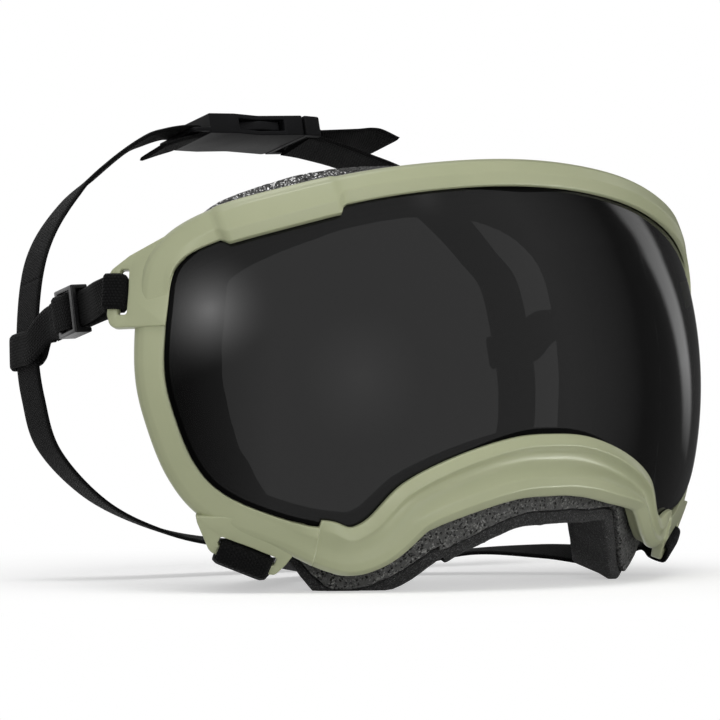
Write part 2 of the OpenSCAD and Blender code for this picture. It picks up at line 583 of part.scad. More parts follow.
module buckle_plug() {
    color([0.06, 0.06, 0.07]) buckle_frame() {
        difference() {
            translate([plug_x0, 0, -buckle_t / 2]) linear_extrude(buckle_t) polygon(rounded([
                [0, -socket_half_w, 0.6], [plug_len, -socket_half_w + 0.8, 1.6],
                [plug_len, socket_half_w - 0.8, 1.6], [0, socket_half_w, 0.6]]));
            translate([plug_x0 + plug_len - plug_bar - plug_slot, -web_half, -10])
                cube([plug_slot, 2 * web_half, 20]);
            translate([plug_x0 + plug_len - plug_bar - plug_slot, -web_half, buckle_t / 2 - 1.8])
                cube([20, 2 * web_half, 5]);
            translate([plug_x0 + plug_len - plug_bar - plug_slot, -web_half, -buckle_t / 2 - 3.2])
                cube([20, 2 * web_half, 5]);
        }
        translate([plug_x0 - tongue_len, -1.4, -inner_half_t]) cube([tongue_len + 1, 2.8, 2 * inner_half_t]);
    }
}
// Latch arm: springs from the plug and bows out into the side window
module latch_arm() {
    translate([0, 0, -inner_half_t]) linear_extrude(2 * inner_half_t) polygon(rounded([
        [plug_x0 - gap, arm_root_y - arm_t / 2, 0.3], [plug_x0 - gap, arm_root_y + arm_t / 2, 0.3],
        [window_x1 - 0.2, arm_root_y + arm_t / 2, 0.4], [window_x1 - 1.2, socket_half_w - 2.2, 0.4],
        [window_x1 - 8, socket_half_w - 1.6, 6], [window_x0 + 0.8, arm_root_y + 0.8, 1.2],
        [window_x0 + 0.8, arm_root_y - 0.6, 0.5], [window_x1, arm_root_y - arm_t / 2, 3]]));
}
module buckle_arm_back() {
    color([0.06, 0.06, 0.07]) buckle_frame() latch_arm();
}
module buckle_arm_front() {
    color([0.06, 0.06, 0.07]) buckle_frame() mirror([0, 1, 0]) latch_arm();
}

// Free tails of the head strap past the buckle: left and right as seen by the dog
module strap_tail_left() {
    web([[16.5, 4.8, 71.3, 0.1, 0.93, -0.36], [30.7, 4.6, 72.0, 0.12, 0.92, -0.38],
        [38.2, 4.6, 72.4, 0.15, 0.9, -0.38], [44.8, 4.6, 70.5, 0.17, 0.9, -0.38]], 4);
}
module strap_tail_right() {
    web([[-27.7, 5, 72.3, 0, 0.97, -0.24], [-26.7, 4.9, 72.1, 0, 0.97, -0.24],
        [-26.3, 4.7, 71.1, 0, 0.97, -0.24], [-26.9, 4.4, 69.7, 0, 0.97, -0.24],
        [-28.5, 4.3, 69.3, 0, 0.96, -0.28], [-33, 4.3, 68.2, 0, 0.95, -0.3],
        [-39, 4.2, 66.4, 0, 0.95, -0.3]], 3);
}

frame();
lens();
lens_gasket();
foam_base();
foam_face();
temple_strap_left();
temple_strap_right();
keeper_left();
keeper_right();
slider_left();
slider_right();
head_strap_lower();
head_strap_right();
head_strap_left();
strap_tail_left();
strap_tail_right();
chin_strap();
buckle_socket();
buckle_plug();
buckle_arm_front();
buckle_arm_back();
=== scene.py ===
# %% [markdown]
# # Dog goggles
# A pair of goggles for a dog: one domed smoked lens in a moulded green frame, two layers of
# foam behind it, and a black webbing harness with two sliders and a side-release buckle.
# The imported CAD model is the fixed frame. It gives every place and size, and this lesson
# dresses it: the mouldings get rounded edges, the foam its pores and the webbing its weave.

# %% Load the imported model
import math

import bmesh
import bpy
import numpy as np
from mathutils import Matrix


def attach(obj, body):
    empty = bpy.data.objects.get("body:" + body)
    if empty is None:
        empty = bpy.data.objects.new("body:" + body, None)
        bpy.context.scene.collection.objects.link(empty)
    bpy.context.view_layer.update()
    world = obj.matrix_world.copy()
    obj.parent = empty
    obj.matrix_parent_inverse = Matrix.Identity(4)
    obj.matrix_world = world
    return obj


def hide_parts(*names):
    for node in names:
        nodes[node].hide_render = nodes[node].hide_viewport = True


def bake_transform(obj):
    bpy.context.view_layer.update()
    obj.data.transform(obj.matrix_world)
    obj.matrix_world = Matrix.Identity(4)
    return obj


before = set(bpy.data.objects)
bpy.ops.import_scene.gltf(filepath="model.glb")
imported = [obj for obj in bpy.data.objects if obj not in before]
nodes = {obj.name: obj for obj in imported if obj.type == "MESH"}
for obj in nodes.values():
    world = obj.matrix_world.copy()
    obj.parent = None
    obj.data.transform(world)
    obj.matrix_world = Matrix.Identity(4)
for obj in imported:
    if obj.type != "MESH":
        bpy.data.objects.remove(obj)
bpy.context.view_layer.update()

MM = 0.001
scene = bpy.context.scene

# %% [markdown]
# ## Camera and studio
# The photograph was taken from the dog's front right, almost level, with a long lens. The
# numbers below came from fitting the dome's outline, the strap slots and the floor line.
# The object stands on a pale floor that fades to white away from it, so that only its soft
# shadow shows. A large softbox above gives the form, a smaller one lifts the front and a weak
# one the underside. The lens's round highlight, the bright streak at its far edge and the line
# of light on the nose bridge are drawn in the world, where only mirrored rays see them.

# %% Camera
def unit(v):
    """v divided by its length, for one vector or for rows of vectors"""
    v = np.asarray(v, float)
    return v / np.linalg.norm(v, axis=-1, keepdims=True)


def axes_to_matrix(x, y, z, at):
    """4x4 matrix whose columns are the three axes and the place"""
    m = np.eye(4)
    m[:3, 0], m[:3, 1], m[:3, 2], m[:3, 3] = x, y, z, at
    return Matrix(m.tolist())


def new_object(name, data):
    """A new object in the scene"""
    made = bpy.data.objects.new(name, data)
    scene.collection.objects.link(made)
    return made


FOCAL_MM, SENSOR_MM = 225.0, 36.0
view_from = [-0.7825, -0.9739, 0.0670]
view_dir = unit([0.6211, 0.7837, -0.0049])
view_right = unit([0.784, -0.621, 0.0])
view_up = np.cross(view_right, view_dir)
camera_data = bpy.data.cameras.new("camera")
camera_data.sensor_width, camera_data.lens = SENSOR_MM, FOCAL_MM
camera_data.clip_start, camera_data.clip_end = 0.05, 30.0
camera = new_object("camera", camera_data)
camera.matrix_world = axes_to_matrix(view_right, view_up, -view_dir, view_from)
scene.camera = camera
scene.view_settings.view_transform = "Standard"
print("camera", FOCAL_MM, "mm at", [round(v, 3) for v in camera.location])


# %% Material helpers
def wire(source, inlet):
    """Link a signal, a socket or a node's first output to an input, or set it to a value"""
    if isinstance(source, bpy.types.Node):
        source = source.outputs[0]
    source = getattr(source, "socket", source)
    if isinstance(source, bpy.types.NodeSocket):
        inlet.id_data.links.new(source, inlet)
    else:
        inlet.default_value = source


def fill(node, *sources, **values):
    """Set a node's properties, which begin in lower case, then feed its first inputs in order
    and others by name, with _ for each space. Returns the node."""
    for key in [k for k in values if k[0].islower()]:
        setattr(node, key, values.pop(key))
    for source, inlet in zip(sources, node.inputs):
        wire(source, inlet)
    for key, value in values.items():
        wire(value, node.inputs[key.replace("_", " ")])
    return node


def add(tree, kind, *sources, **values):
    """Add a node of a kind to a tree and fill it"""
    return fill(tree.nodes.new("ShaderNode" + kind), *sources, **values)


class Signal:
    """A node's output on which Python's arithmetic works: each step adds a Math node"""

    def __init__(self, node, key=0):
        self.tree, self.socket = node.id_data, node.outputs[key]

    def math(self, operation, *others):
        """Math node of this signal and the others, which are signals or numbers"""
        return Signal(add(self.tree, "Math", self, *others, operation=operation))

    def __add__(self, other):
        return self.math("ADD", other)

    def __sub__(self, other):
        return self.math("SUBTRACT", other)

    def __mul__(self, other):
        return self.math("MULTIPLY", other)

    def __truediv__(self, other):
        return self.math("DIVIDE", other)

    def __abs__(self):
        return self.math("ABSOLUTE")

    def ramp(self, low, high, to_low=0.0, to_high=1.0):
        """Map Range: low..high becomes to_low..to_high, clamped"""
        return Signal(add(self.tree, "MapRange", self, low, high, to_low, to_high))

    def mix(self, a, b):
        """Colour between a, where this signal is 0, and b, where it is 1"""
        n = add(self.tree, "Mix", self, data_type="RGBA")
        wire(a, n.inputs[6])
        wire(b, n.inputs[7])
        return Signal(n, 2)


def relief(height, strength, distance):
    """Bump node that turns a height into a normal"""
    return add(height.tree, "Bump", Height=height, Strength=strength, Distance=distance)


def object_place(tree):
    """The place on a piece, in the piece's own coordinates"""
    return Signal(add(tree, "TexCoord"), "Object")


def seen_rays(tree):
    """1 for rays from the camera, also those that have passed the lens, and 0 for others"""
    rays = add(tree, "LightPath")
    return Signal(rays, "Is Camera Ray").math("MAXIMUM", Signal(rays, "Is Transmission Ray"))


def material(name):
    """A new node material: returns it with its Principled shader and its node tree"""
    m = bpy.data.materials.new(name)
    m.use_nodes = True
    return m, m.node_tree.nodes["Principled BSDF"], m.node_tree


def colour(r, g, b):
    """Linear colour with full opacity"""
    return (r, g, b, 1.0)


def grey(value):
    """Linear grey with full opacity"""
    return colour(value, value, value)


print("helpers ready")

# %% Floor
FADE_FROM, FADE_TO, FLOOR_GLOW, FLOOR_HALF = 0.10, 0.19, 0.44, 6
floor_material, floor_shader, floor_tree = material("pale_floor")
floor_distance = add(floor_tree, "VectorMath", object_place(floor_tree), operation="LENGTH")
floor_far = Signal(floor_distance, "Value").ramp(FADE_FROM, FADE_TO)
floor_seen = seen_rays(floor_tree)
floor_white = add(floor_tree, "Emission", Strength=1.0)
fill(floor_shader, Base_Color=grey(0.82), Roughness=0.9, Specular_IOR_Level=0.0,
    Emission_Color=grey(1), Emission_Strength=floor_seen * FLOOR_GLOW)
floor_mix = add(floor_tree, "MixShader", floor_far * floor_seen, floor_shader, floor_white)
fill(floor_tree.nodes["Material Output"], floor_mix)
floor_mesh = bpy.data.meshes.new("floor")
floor_mesh.from_pydata([(x * FLOOR_HALF, y * FLOOR_HALF, 0) for x, y in
    ((-1, -1), (1, -1), (1, 1), (-1, 1))], [], [(0, 1, 2, 3)])
floor_mesh.materials.append(floor_material)
floor = new_object("floor", floor_mesh)
floor.visible_glossy = False

# %% World
world = bpy.data.worlds.new("studio")
scene.world = world
world.use_nodes = True
sky = world.node_tree
sky.nodes.clear()
sky_at = Signal(add(sky, "TexCoord"), "Generated")
sky_x, sky_y, sky_z = (Signal(add(sky, "SeparateXYZ", sky_at), k) for k in "XYZ")
DEGREES = 180 / math.pi
azimuth = sky_x.math("ARCTAN2", sky_y * -1.0) * DEGREES
elevation = sky_z.math("ARCSINE") * DEGREES


def spot(az, el, radius, power, sharp=2.0):
    """Soft round light at a direction: power (1 - angle / radius)^sharp, in degrees"""
    a, e = math.radians(az), math.radians(el)
    toward = (math.sin(a) * math.cos(e), -math.cos(a) * math.cos(e), math.sin(e))
    dot = Signal(add(sky, "VectorMath", sky_at, toward, operation="DOT_PRODUCT"), "Value")
    angle = dot.math("ARCCOSINE") * DEGREES
    return angle.ramp(0.0, radius, 1.0, 0.0).math("POWER", sharp) * power


# What mirrors show: a pale front with dim sides, the back, a slanting strip, the ceiling and
# a little from below
low_left = azimuth.ramp(-60, -36, 0.12, 1.0)
left_part = low_left.math("MAXIMUM", elevation.ramp(-2, 14))
mirrored = left_part * azimuth.ramp(48, 80, 1.0, 0.11) * 0.62
slant = azimuth + elevation * 0.7
strip = abs(slant - 108.5).ramp(3.0, 6.0, 0.95, 0.0) * elevation.ramp(-6, 2)
for part in (abs(azimuth).ramp(128, 150), strip, elevation.ramp(48, 62),
        elevation.ramp(-22, -45, 0.0, 0.3)):
    mirrored = mirrored.math("MAXIMUM", part)
# The lens's round highlight, two faint ones, and the line of light on the nose bridge
for light in (spot(-54, 19, 17, 5.4, 2.2), spot(-13, 2, 17, 0.42, 1.2), spot(17, 46, 7, 0.5),
        spot(49, -25, 16, 14.0, 1.3)):
    mirrored = mirrored + light
sky_light, sky_seen, sky_mirror = (add(sky, "Background", grey(1), power)
    for power in (elevation.ramp(50, 5, 0.30, 0.56), 1.0, mirrored))
sky_pick = add(sky, "MixShader", seen_rays(sky), sky_light, sky_seen)
glossy_ray = Signal(add(sky, "LightPath"), "Is Glossy Ray")
add(sky, "OutputWorld", add(sky, "MixShader", glossy_ray, sky_pick, sky_mirror))


# %% Lights
def softbox(name, at, aim, size, power):
    """Square area lamp at a place, turned so that its face looks at the aim point"""
    data = bpy.data.lights.new(name, "AREA")
    data.shape, data.size, data.energy = "SQUARE", size, power
    lamp = new_object(name, data)
    z = unit(np.subtract(at, aim))
    x = unit(np.cross([0.0, 0.0, 1.0], z))
    lamp.matrix_world = axes_to_matrix(x, np.cross(z, x), z, at)
    return lamp


softbox("key", (-0.3, -0.35, 1.5), (0, 0, 0.05), 0.9, 8.0)
low_front = softbox("low_front", (-0.35, -1.1, 0.12), (0, 0, 0.02), 0.6, 4.4)
bounce = softbox("bounce", (-0.14, -0.33, 0.003), (-0.12, -0.2, 0.5), 0.4, 1.0)
low_front.visible_glossy = False
bounce.visible_glossy = bounce.visible_camera = bounce.visible_transmission = False


# %% [markdown]
# ## Surfaces from numbers
# Every new piece is a grid of points: a closed profile carried round a ring, or along a
# strap. One helper turns such a grid into a mesh, and another gives each corner of a profile
# a soft radius, because a moulded or cut edge is never sharp and the light shows it.

# %% Grid and corner helpers
def finish_piece(name, mesh, body, mat):
    """Link a mesh as a smooth piece of one material, which rides on the body if one is given"""
    mesh.materials.append(mat)
    mesh.polygons.foreach_set("use_smooth", np.full(len(mesh.polygons), True))
    mesh.update()
    piece = new_object(name, mesh)
    if body:
        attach(piece, body)
    return piece


def grid_mesh(name, points, loop_rows=True, loop_columns=True, uv=None, caps=False,
        attribute=None):
    """Quads over a grid of points in mm, shape (rows, columns, 3).

    Point (i, j) joins (i+1, j) and (i, j+1). A looped direction closes on itself. uv is an
    array of the same grid, kept open at the seam, caps close the two end rows, and attribute
    is a name with one value per point."""
    rows, columns = points.shape[:2]
    ri = np.arange(rows if loop_rows else rows - 1)
    ci = np.arange(columns if loop_columns else columns - 1)
    i, j = np.meshgrid(ri, ci, indexing="ij")
    i2, j2 = (i + 1) % rows, (j + 1) % columns
    quads = np.stack([i * columns + j, i * columns + j2, i2 * columns + j2, i2 * columns + j], -1)
    faces = quads.reshape(-1, 4).tolist()
    if caps:
        faces.append(list(range(columns))[::-1])
        faces.append([(rows - 1) * columns + k for k in range(columns)])
    mesh = bpy.data.meshes.new(name)
    mesh.from_pydata((points.reshape(-1, 3) * MM).tolist(), [], faces)
    if uv is not None:
        corners = np.stack([uv[i, j], uv[i, j + 1], uv[i + 1, j + 1], uv[i + 1, j]], 2)
        value = corners.reshape(-1, 2)
        flat = np.zeros((len(mesh.loops), 2))
        flat[:len(value)] = value
        mesh.uv_layers.new(name="UVMap").data.foreach_set("uv", flat.ravel())
    if attribute is not None:
        key, data = attribute
        mesh.attributes.new(key, "FLOAT", "POINT").data.foreach_set("value", data.ravel())
    return mesh


def point_out(mesh):
    """Turn the whole closed mesh over if its signed volume is negative"""
    mesh.calc_loop_triangles()
    co = np.zeros(len(mesh.vertices) * 3)
    mesh.vertices.foreach_get("co", co)
    tri = np.zeros(len(mesh.loop_triangles) * 3, int)
    mesh.loop_triangles.foreach_get("vertices", tri)
    a, b, c = co.reshape(-1, 3)[tri.reshape(-1, 3)].transpose(1, 0, 2)
    if np.einsum("ij,ij->i", a, np.cross(b, c)).sum() < 0:
        mesh.flip_normals()
    return mesh


EDGE_SHARE = 0.46


def soften(profile, radii, steps=5):
    """Round every corner of closed profiles, shape (n, k, d).

    Near corner P the line becomes the curve (1-t)^2 A + 2t(1-t) P + t^2 B, where A and B lie
    on the two edges, the corner's radius away from P, or 0.46 of the edge if that is less."""
    before, after = np.roll(profile, 1, 1), np.roll(profile, -1, 1)
    to_a, to_b = before - profile, after - profile
    la = np.linalg.norm(to_a, axis=-1, keepdims=True)
    lb = np.linalg.norm(to_b, axis=-1, keepdims=True)
    r = np.broadcast_to(radii, profile.shape[:2])[..., None]
    a = profile + to_a / np.maximum(la, 1e-9) * np.minimum(r, EDGE_SHARE * la)
    b = profile + to_b / np.maximum(lb, 1e-9) * np.minimum(r, EDGE_SHARE * lb)
    t = np.linspace(0, 1, steps)[None, None, :, None]
    a, p, b = a[:, :, None], profile[:, :, None], b[:, :, None]
    curve = (1 - t) ** 2 * a + 2 * t * (1 - t) * p + t ** 2 * b
    return curve.reshape(len(profile), -1, profile.shape[-1])


def blend_rows(rows, u, closed):
    """Catmull-Rom curve through rows at parameters u; a whole number is a row itself"""
    rows = np.asarray(rows, float)
    n = len(rows)
    k = np.floor(u).astype(int)
    k = k if closed else np.minimum(k, n - 2)
    t = (u - k)[:, None]
    at = (lambda i: rows[i % n]) if closed else (lambda i: rows[np.clip(i, 0, n - 1)])
    a, b, c, d = at(k - 1), at(k), at(k + 1), at(k + 2)
    return 0.5 * (2 * b + (c - a) * t + (2 * a - 5 * b + 4 * c - d) * t ** 2
        + (3 * b - a - 3 * c + d) * t ** 3)


def mix(a, b, t):
    """a + (b - a) t"""
    return a + (b - a) * t


def smooth(t):
    """3t^2 - 2t^3 with t held between 0 and 1"""
    t = np.clip(t, 0, 1)
    return t * t * (3 - 2 * t)


print("surface helpers ready")

# %% [markdown]
# ## The dome and the window's outline
# Lens, frame and foam all follow one outline on one sphere, as on the real goggles, where the
# frame is moulded to the lens. The rows are the CAD's own: place, band width, nose channel,
# foam spread, sunk side band, skirt depth, and how the foam comes forward at the nose. Near
# the seams beside the bridge and the ends of the brow's plate the steps round it are finer.

# %% Outline and station frames
LENS_R = 123.0
HALF_W, TOP, DROP, RISE = 94.6, 54.4, 35.4, 24.0
LENS_T, GRIP, BROW_W, SIDE_W, NOSE_W = 2.2, 2.6, 7.9, 9.2, 17.0
FOAM_NOSE, SEAMS, PLATE_ENDS = 9.5, (11.67, 22.33), (30.28, 31.9)
CENTRE = np.array([0.0, 54.7, 52.9])
WIDTH, SPREAD, SUNK, SKIRT_SHARE, UNDER, LEFT_SPREAD, DEPTH_SHARE = 2, 4, 5, 6, 7, 8, 9
half_rows = np.array([
    [0.000, TOP, BROW_W, 0, 0.5, 0, 1, 0, 0.5, 1],
    [0.225, TOP * 0.983, BROW_W, 0, 2.4, 0, 1, 0, 2.4, 1],
    [0.455, TOP * 0.930, BROW_W + 0.3, 0, 4.6, 0, 1, 0, 4.6, 1],
    [0.655, TOP * 0.845, BROW_W + 0.7, 0, 5.0, 0, 1, 0, 5.0, 1],
    [0.845, TOP * 0.728, BROW_W + 1.3, 0, 2.8, 0.1, 1, 0, 2.8, 1],
    [0.948, TOP * 0.600, BROW_W + 1.1, 0, 0.5, 0.5, 1, 0, 0.5, 1],
    [0.984, TOP * 0.380, SIDE_W + 0.4, 0, -1.6, 1, 1, 0, -1.6, 1],
    [1.000, TOP * 0.110, SIDE_W, 0, -2, 1, 1, 0, -2, 1],
    [0.982, DROP * -0.17, SIDE_W, 0, -2, 1, 1, 0, -2, 1],
    [0.935, DROP * -0.53, SIDE_W + 0.2, 0, -2, 1, 0.95, 0, -2, 1],
    [0.862, DROP * -0.765, SIDE_W + 0.6, 0, -1.2, 0.9, 0.8, 0, -1.2, 0.97],
    [0.730, DROP * -0.935, NOSE_W - 7.8, 0, 3, 0.7, 0.5, 0.5, 3, 0.78],
    [0.610, -DROP, NOSE_W - 4.4, 0.2, FOAM_NOSE * 1.25, 0, 0.2, 1, FOAM_NOSE * 1.2, 0.62],
    [0.541, RISE * 0.06 - DROP, NOSE_W - 2.8, 0.45, FOAM_NOSE * 0.72, 0, 0.1, 1,
        FOAM_NOSE * 1.3, 0.58],
    [0.455, RISE * 0.47 - DROP, NOSE_W - 1.5, 0.85, FOAM_NOSE * 0.47, 0, 0.1, 1,
        FOAM_NOSE * 1.68, 0.6],
    [0.316, RISE * 0.76 - DROP, NOSE_W - 0.3, 1, FOAM_NOSE * 0.8, 0, 0.1, 1,
        FOAM_NOSE * 1.58, 0.68],
    [0.145, RISE * 0.958 - DROP, NOSE_W, 1, FOAM_NOSE * 1.12, 0, 0.1, 1, FOAM_NOSE * 1.42, 0.7],
    [0.000, RISE - DROP, NOSE_W, 1, FOAM_NOSE * 1.22, 0, 0.1, 1, FOAM_NOSE * 1.22, 0.7],
])
half_rows[:, 0] *= HALF_W
left_half = half_rows[-2:0:-1] * [-1, 1, 1, 1, 0, 1, 1, 1, 1, 1]
left_half[:, SPREAD] = left_half[:, LEFT_SPREAD]
outline_rows = np.vstack([half_rows, left_half])


def dome_point(x, z):
    """Point of the dome over (x, z): y = -sqrt(R^2 - x^2 - z^2)"""
    return np.stack([x, -np.sqrt(LENS_R ** 2 - x ** 2 - z ** 2), z], -1)


class Stations:
    """Places round the outline, each with a point on the dome, the direction away from the
    lens along the dome, and the level direction towards the dog's face. Beside the places
    listed as fine, 25 steps share 0.3 of a row."""

    def __init__(self, per_row, fine=()):
        at = np.arange(len(outline_rows) * per_row) / per_row
        extra = [np.linspace(k - 0.15, k + 0.15, 25) for k in fine]
        self.at = np.unique(np.round(np.concatenate([at] + extra), 5))
        self.rows = blend_rows(outline_rows, self.at, True)
        self.p = dome_point(self.rows[:, 0], self.rows[:, 1])
        along = unit(np.roll(self.p, -1, 0) - np.roll(self.p, 1, 0))
        self.out = unit(np.cross(self.p, along))
        self.back = unit(self.p * [-1, -1, 0])
        steps = np.linalg.norm(np.roll(self.p, -1, 0) - self.p, axis=1)
        self.length = np.concatenate([[0], np.cumsum(steps)])

    def place(self, profile):
        """(R + b) unit(p + a out) + d back, for profiles of (a, b, d)"""
        a, b, d = profile[..., 0:1], profile[..., 1:2], profile[..., 2:3]
        ray = unit(self.p[:, None] + a * self.out[:, None])
        return (LENS_R + b) * ray + d * self.back[:, None] + CENTRE


def from_rows(at, values):
    """Value at each place: the given ones at their rows, 0 at other rows, linear between"""
    per_row = np.zeros(len(outline_rows))
    per_row[list(values)] = list(values.values())
    return np.interp(at, np.arange(len(outline_rows)), per_row)


ring = Stations(18, PLATE_ENDS + SEAMS)
print("window outline", round(ring.length[-1], 1), "mm round,", len(ring.p), "stations")

# %% [markdown]
# ## Moulded plastic
# The frame is one injection moulding in a soft sage green: satin, with the finest spark
# texture, hardly any change of colour, and edges that catch the light. A grain group is
# shared by every plastic piece, each with its own depth and size.

# %% Shader groups
FLOAT, VECTOR = "NodeSocketFloat", "NodeSocketVector"


def new_group(name, vector, numbers, outputs):
    """A shader node group with one vector input, number inputs with their values, and number
    outputs: returns tree, inlet, outlet"""
    tree = bpy.data.node_groups.new(name, "ShaderNodeTree")
    tree.interface.new_socket(name=vector, in_out="INPUT", socket_type=VECTOR)
    for key, value in numbers.items():
        s = tree.interface.new_socket(name=key, in_out="INPUT", socket_type=FLOAT)
        s.default_value = value
    for key in outputs:
        tree.interface.new_socket(name=key, in_out="OUTPUT", socket_type=FLOAT)
    return tree, tree.nodes.new("NodeGroupInput"), tree.nodes.new("NodeGroupOutput")


grain_group, grain_in, grain_out = new_group("moulded_grain", "Vector", {"Size": 1.0},
    ["Height", "Patch"])
grain_at = Signal(grain_in, "Vector")
grain_scaled = add(grain_group, "VectorMath", grain_at, operation="SCALE",
    Scale=Signal(grain_in, "Size"))
fill(grain_out,
    Height=add(grain_group, "TexNoise", grain_scaled, Scale=2600.0, Detail=3.0, Roughness=0.6),
    Patch=add(grain_group, "TexNoise", grain_at, Scale=38.0, Detail=3.0, Roughness=0.55))


def plastic(name, base, shade, roughness, bump, size=1.0, specular=0.5, coat=0.0):
    """Moulded plastic: two near colours in broad patches, grain in roughness and bump"""
    m, shader, tree = material(name)
    grain = add(tree, "Group", node_tree=grain_group, Vector=object_place(tree), Size=size)
    patch, height = Signal(grain, "Patch"), Signal(grain, "Height")
    rough = (patch.ramp(0.3, 0.7, -0.03, 0.03)
        + height.ramp(0.3, 0.7, roughness - 0.03, roughness + 0.03))
    fill(shader, Base_Color=patch.ramp(0.35, 0.65).mix(base, shade), Roughness=rough,
        Specular_IOR_Level=specular, Coat_Weight=coat, Coat_Roughness=0.12,
        Normal=relief(height, 0.35, bump))
    return m


green = plastic("sage_moulding", colour(0.365, 0.388, 0.238), colour(0.385, 0.405, 0.252),
    0.36, 0.00006, coat=0.2)
buckle_black = plastic("satin_black", colour(0.006, 0.006, 0.0065), colour(0.008, 0.008, 0.009),
    0.46, 0.00005, 0.8, specular=0.1)
slider_black = plastic("gloss_black", colour(0.005, 0.005, 0.0055), colour(0.007, 0.007, 0.0075),
    0.26, 0.00003, 0.8, specular=0.35)
print("plastics:", green.name, buckle_black.name, slider_black.name)

# %% [markdown]
# ## The frame
# The real frame is a single moulding: a lip over the lens, a sloped face, a rounded crown and
# a skirt back to the foam. At the nose it widens to a bridge with two ridges and a channel
# between them. At the sides the lens's edge is bare and the band lies behind it. The CAD
# frame has these forms in flat facets. Here the same cross-section is carried round in about
# seven hundred steps with soft corners, and it takes the CAD node's place. A small step beside
# the bridge is the seam that the photograph shows there.

# %% Frame ring
CROWN, CHANNEL, SLOPE, SKIRT, GROOVE, FLANGE = 3.0, 2.4, 2.8, 9.0, 3.0, 3.2
FLANGE_TOP, FLANGE_T, ROUND, WALL = -3.3, 2.2, 1.7, 2.0
PLATE_LEN, PLATE_MID = 27.0, -0.702 * HALF_W
SEAM_LAP, SEAM_DROP, SKIRT_FROM = 1.9, 0.9, 1.2


def plate_share(x, z):
    """1 along the raised bare plate on the brow, 0 elsewhere, with short ramps"""
    up = smooth(x - PLATE_MID + PLATE_LEN / 2 + 0.5)
    down = smooth(x - PLATE_MID - PLATE_LEN / 2 + 0.5)
    return np.where(z < 0, 0, up - down)


def past_seam(at):
    """1 just on the nose's side of the seam beside the bridge, falling to 0 in one row"""
    inside = np.minimum(at - SEAMS[0], SEAMS[1] - at)
    return smooth(inside / 0.03 + 0.5) * (1 - smooth((inside - 0.1) / 0.9))


def corners_of(columns, count):
    """Stack columns of (a, b, d), each an array or a number, into profiles"""
    return np.stack([np.stack([np.broadcast_to(v, (count,)) for v in c], -1) for c in columns], 1)


def frame_profile(rows, at):
    """Section of the frame at each row, as corners (a, b, d): distance from the lens's edge,
    height over the dome, depth to the back. The lip draws back first, then sinks."""
    x, z, w, share, _, sunk, deep = rows[:, :7].T
    plate, step = plate_share(x, z), past_seam(at)
    bare, sink = np.clip(sunk / 0.4, 0, 1), np.clip((sunk - 0.4) / 0.6, 0, 1)
    back = SKIRT_FROM + (SKIRT - SKIRT_FROM) * deep
    inner = mix(-plate * 2.4, 0.3, bare) - SEAM_LAP * step
    low = sunk * (CROWN + 0.6)
    h = CROWN + 0.2 * share + 0.9 * plate - low - SEAM_DROP * step
    lip = mix(mix(0.2, -1.2, sink), 0.2, step)
    s0, s1, c = mix(SLOPE, 1.2, sunk), w - ROUND - 1.6 * share, CHANNEL * share
    wall = mix(GROOVE, 0.4, bare)
    reach_in = mix(FLANGE, 0.8, share)
    edge = np.maximum(lip + 0.4, mix(1.5 + 0.8 * plate, h - 0.2, sunk))
    under = FLANGE_TOP - FLANGE_T
    return corners_of([(inner, lip, 0), (inner, edge, 0), (inner + s0, h, 0),
        (mix(s0, s1, 0.16), h - 0.75 * c, 0), (mix(s0, s1, 0.40), h - 1.1 * c, 0),
        (mix(s0, s1, 0.62), h - 0.5 * c, 0), (mix(s0, s1, 0.76), h, 0),
        (s1, h + 0.5 * share - 0.5 * plate - 0.35 * sunk, 0),
        (w - 0.5, h - 0.8 - 0.2 * sunk - 0.5 * share, 0),
        (w, CROWN - 2.0 - low, 0), (w - 0.8, -1.2 - 0.6 * low, 0),
        (w - 1.6, -1.2, back), (w - 1.6 - WALL, -2.2, back), (2.2, under, 0),
        (-reach_in, under, 0), (-reach_in, FLANGE_TOP, 0), (wall, FLANGE_TOP, 0),
        (wall, lip, 0)], len(w))


frame_rows = ring.rows.copy()
frame_rows[:, WIDTH] += from_rows(ring.at, {12: -4.0, 13: -5.5, 14: -4.5, 15: -2.0, 16: -0.5})
corner_radii = [0.25, 0.3, 0.45, 0.9, 1.2, 0.9, 0.5, 0.4, 0.5, 0.6, 0.4, 0.4, 0.4, 0.5, 0.3, 0.3,
    0.2, 0.2]
frame_points = ring.place(soften(frame_profile(frame_rows, ring.at), corner_radii))
frame_ring = finish_piece("frame_ring", point_out(grid_mesh("frame_ring", frame_points)),
    "goggles", green)
print("frame ring", len(frame_ring.data.polygons), "quads")


# %% Strap tabs
def round_corners(rows, steps=8):
    """Polygon of (x, y, radius) with each corner replaced by an arc of that radius"""
    rows = np.asarray(rows, float)
    p, r = rows[:, :2], rows[:, 2]
    u, v = unit(np.roll(p, 1, 0) - p), unit(np.roll(p, -1, 0) - p)
    half = np.arccos(np.clip((u * v).sum(1), -0.9999, 0.9999)) / 2
    d = (r / np.tan(half))[:, None]
    s, e = p + u * d, p + v * d
    c = p + unit(u + v) * (r / np.sin(half))[:, None]
    a0 = np.arctan2(*(s - c).T[::-1])
    turn = (np.arctan2(*(e - c).T[::-1]) - a0 + 3 * np.pi) % (2 * np.pi) - np.pi
    angle = a0[:, None] + turn[:, None] * np.linspace(0, 1, steps)
    arc = c[:, None] + r[:, None, None] * np.stack([np.cos(angle), np.sin(angle)], -1)
    return np.where(r[:, None, None] > 0, arc, p[:, None]).reshape(-1, 2)


def slot_outline(half_x, half_y):
    """Rectangle about the origin with round corners"""
    signs = np.array([[-1, -1], [1, -1], [1, 1], [-1, 1]])
    return round_corners(np.c_[signs * [half_x, half_y], np.full(4, SLOT_CORNER)])


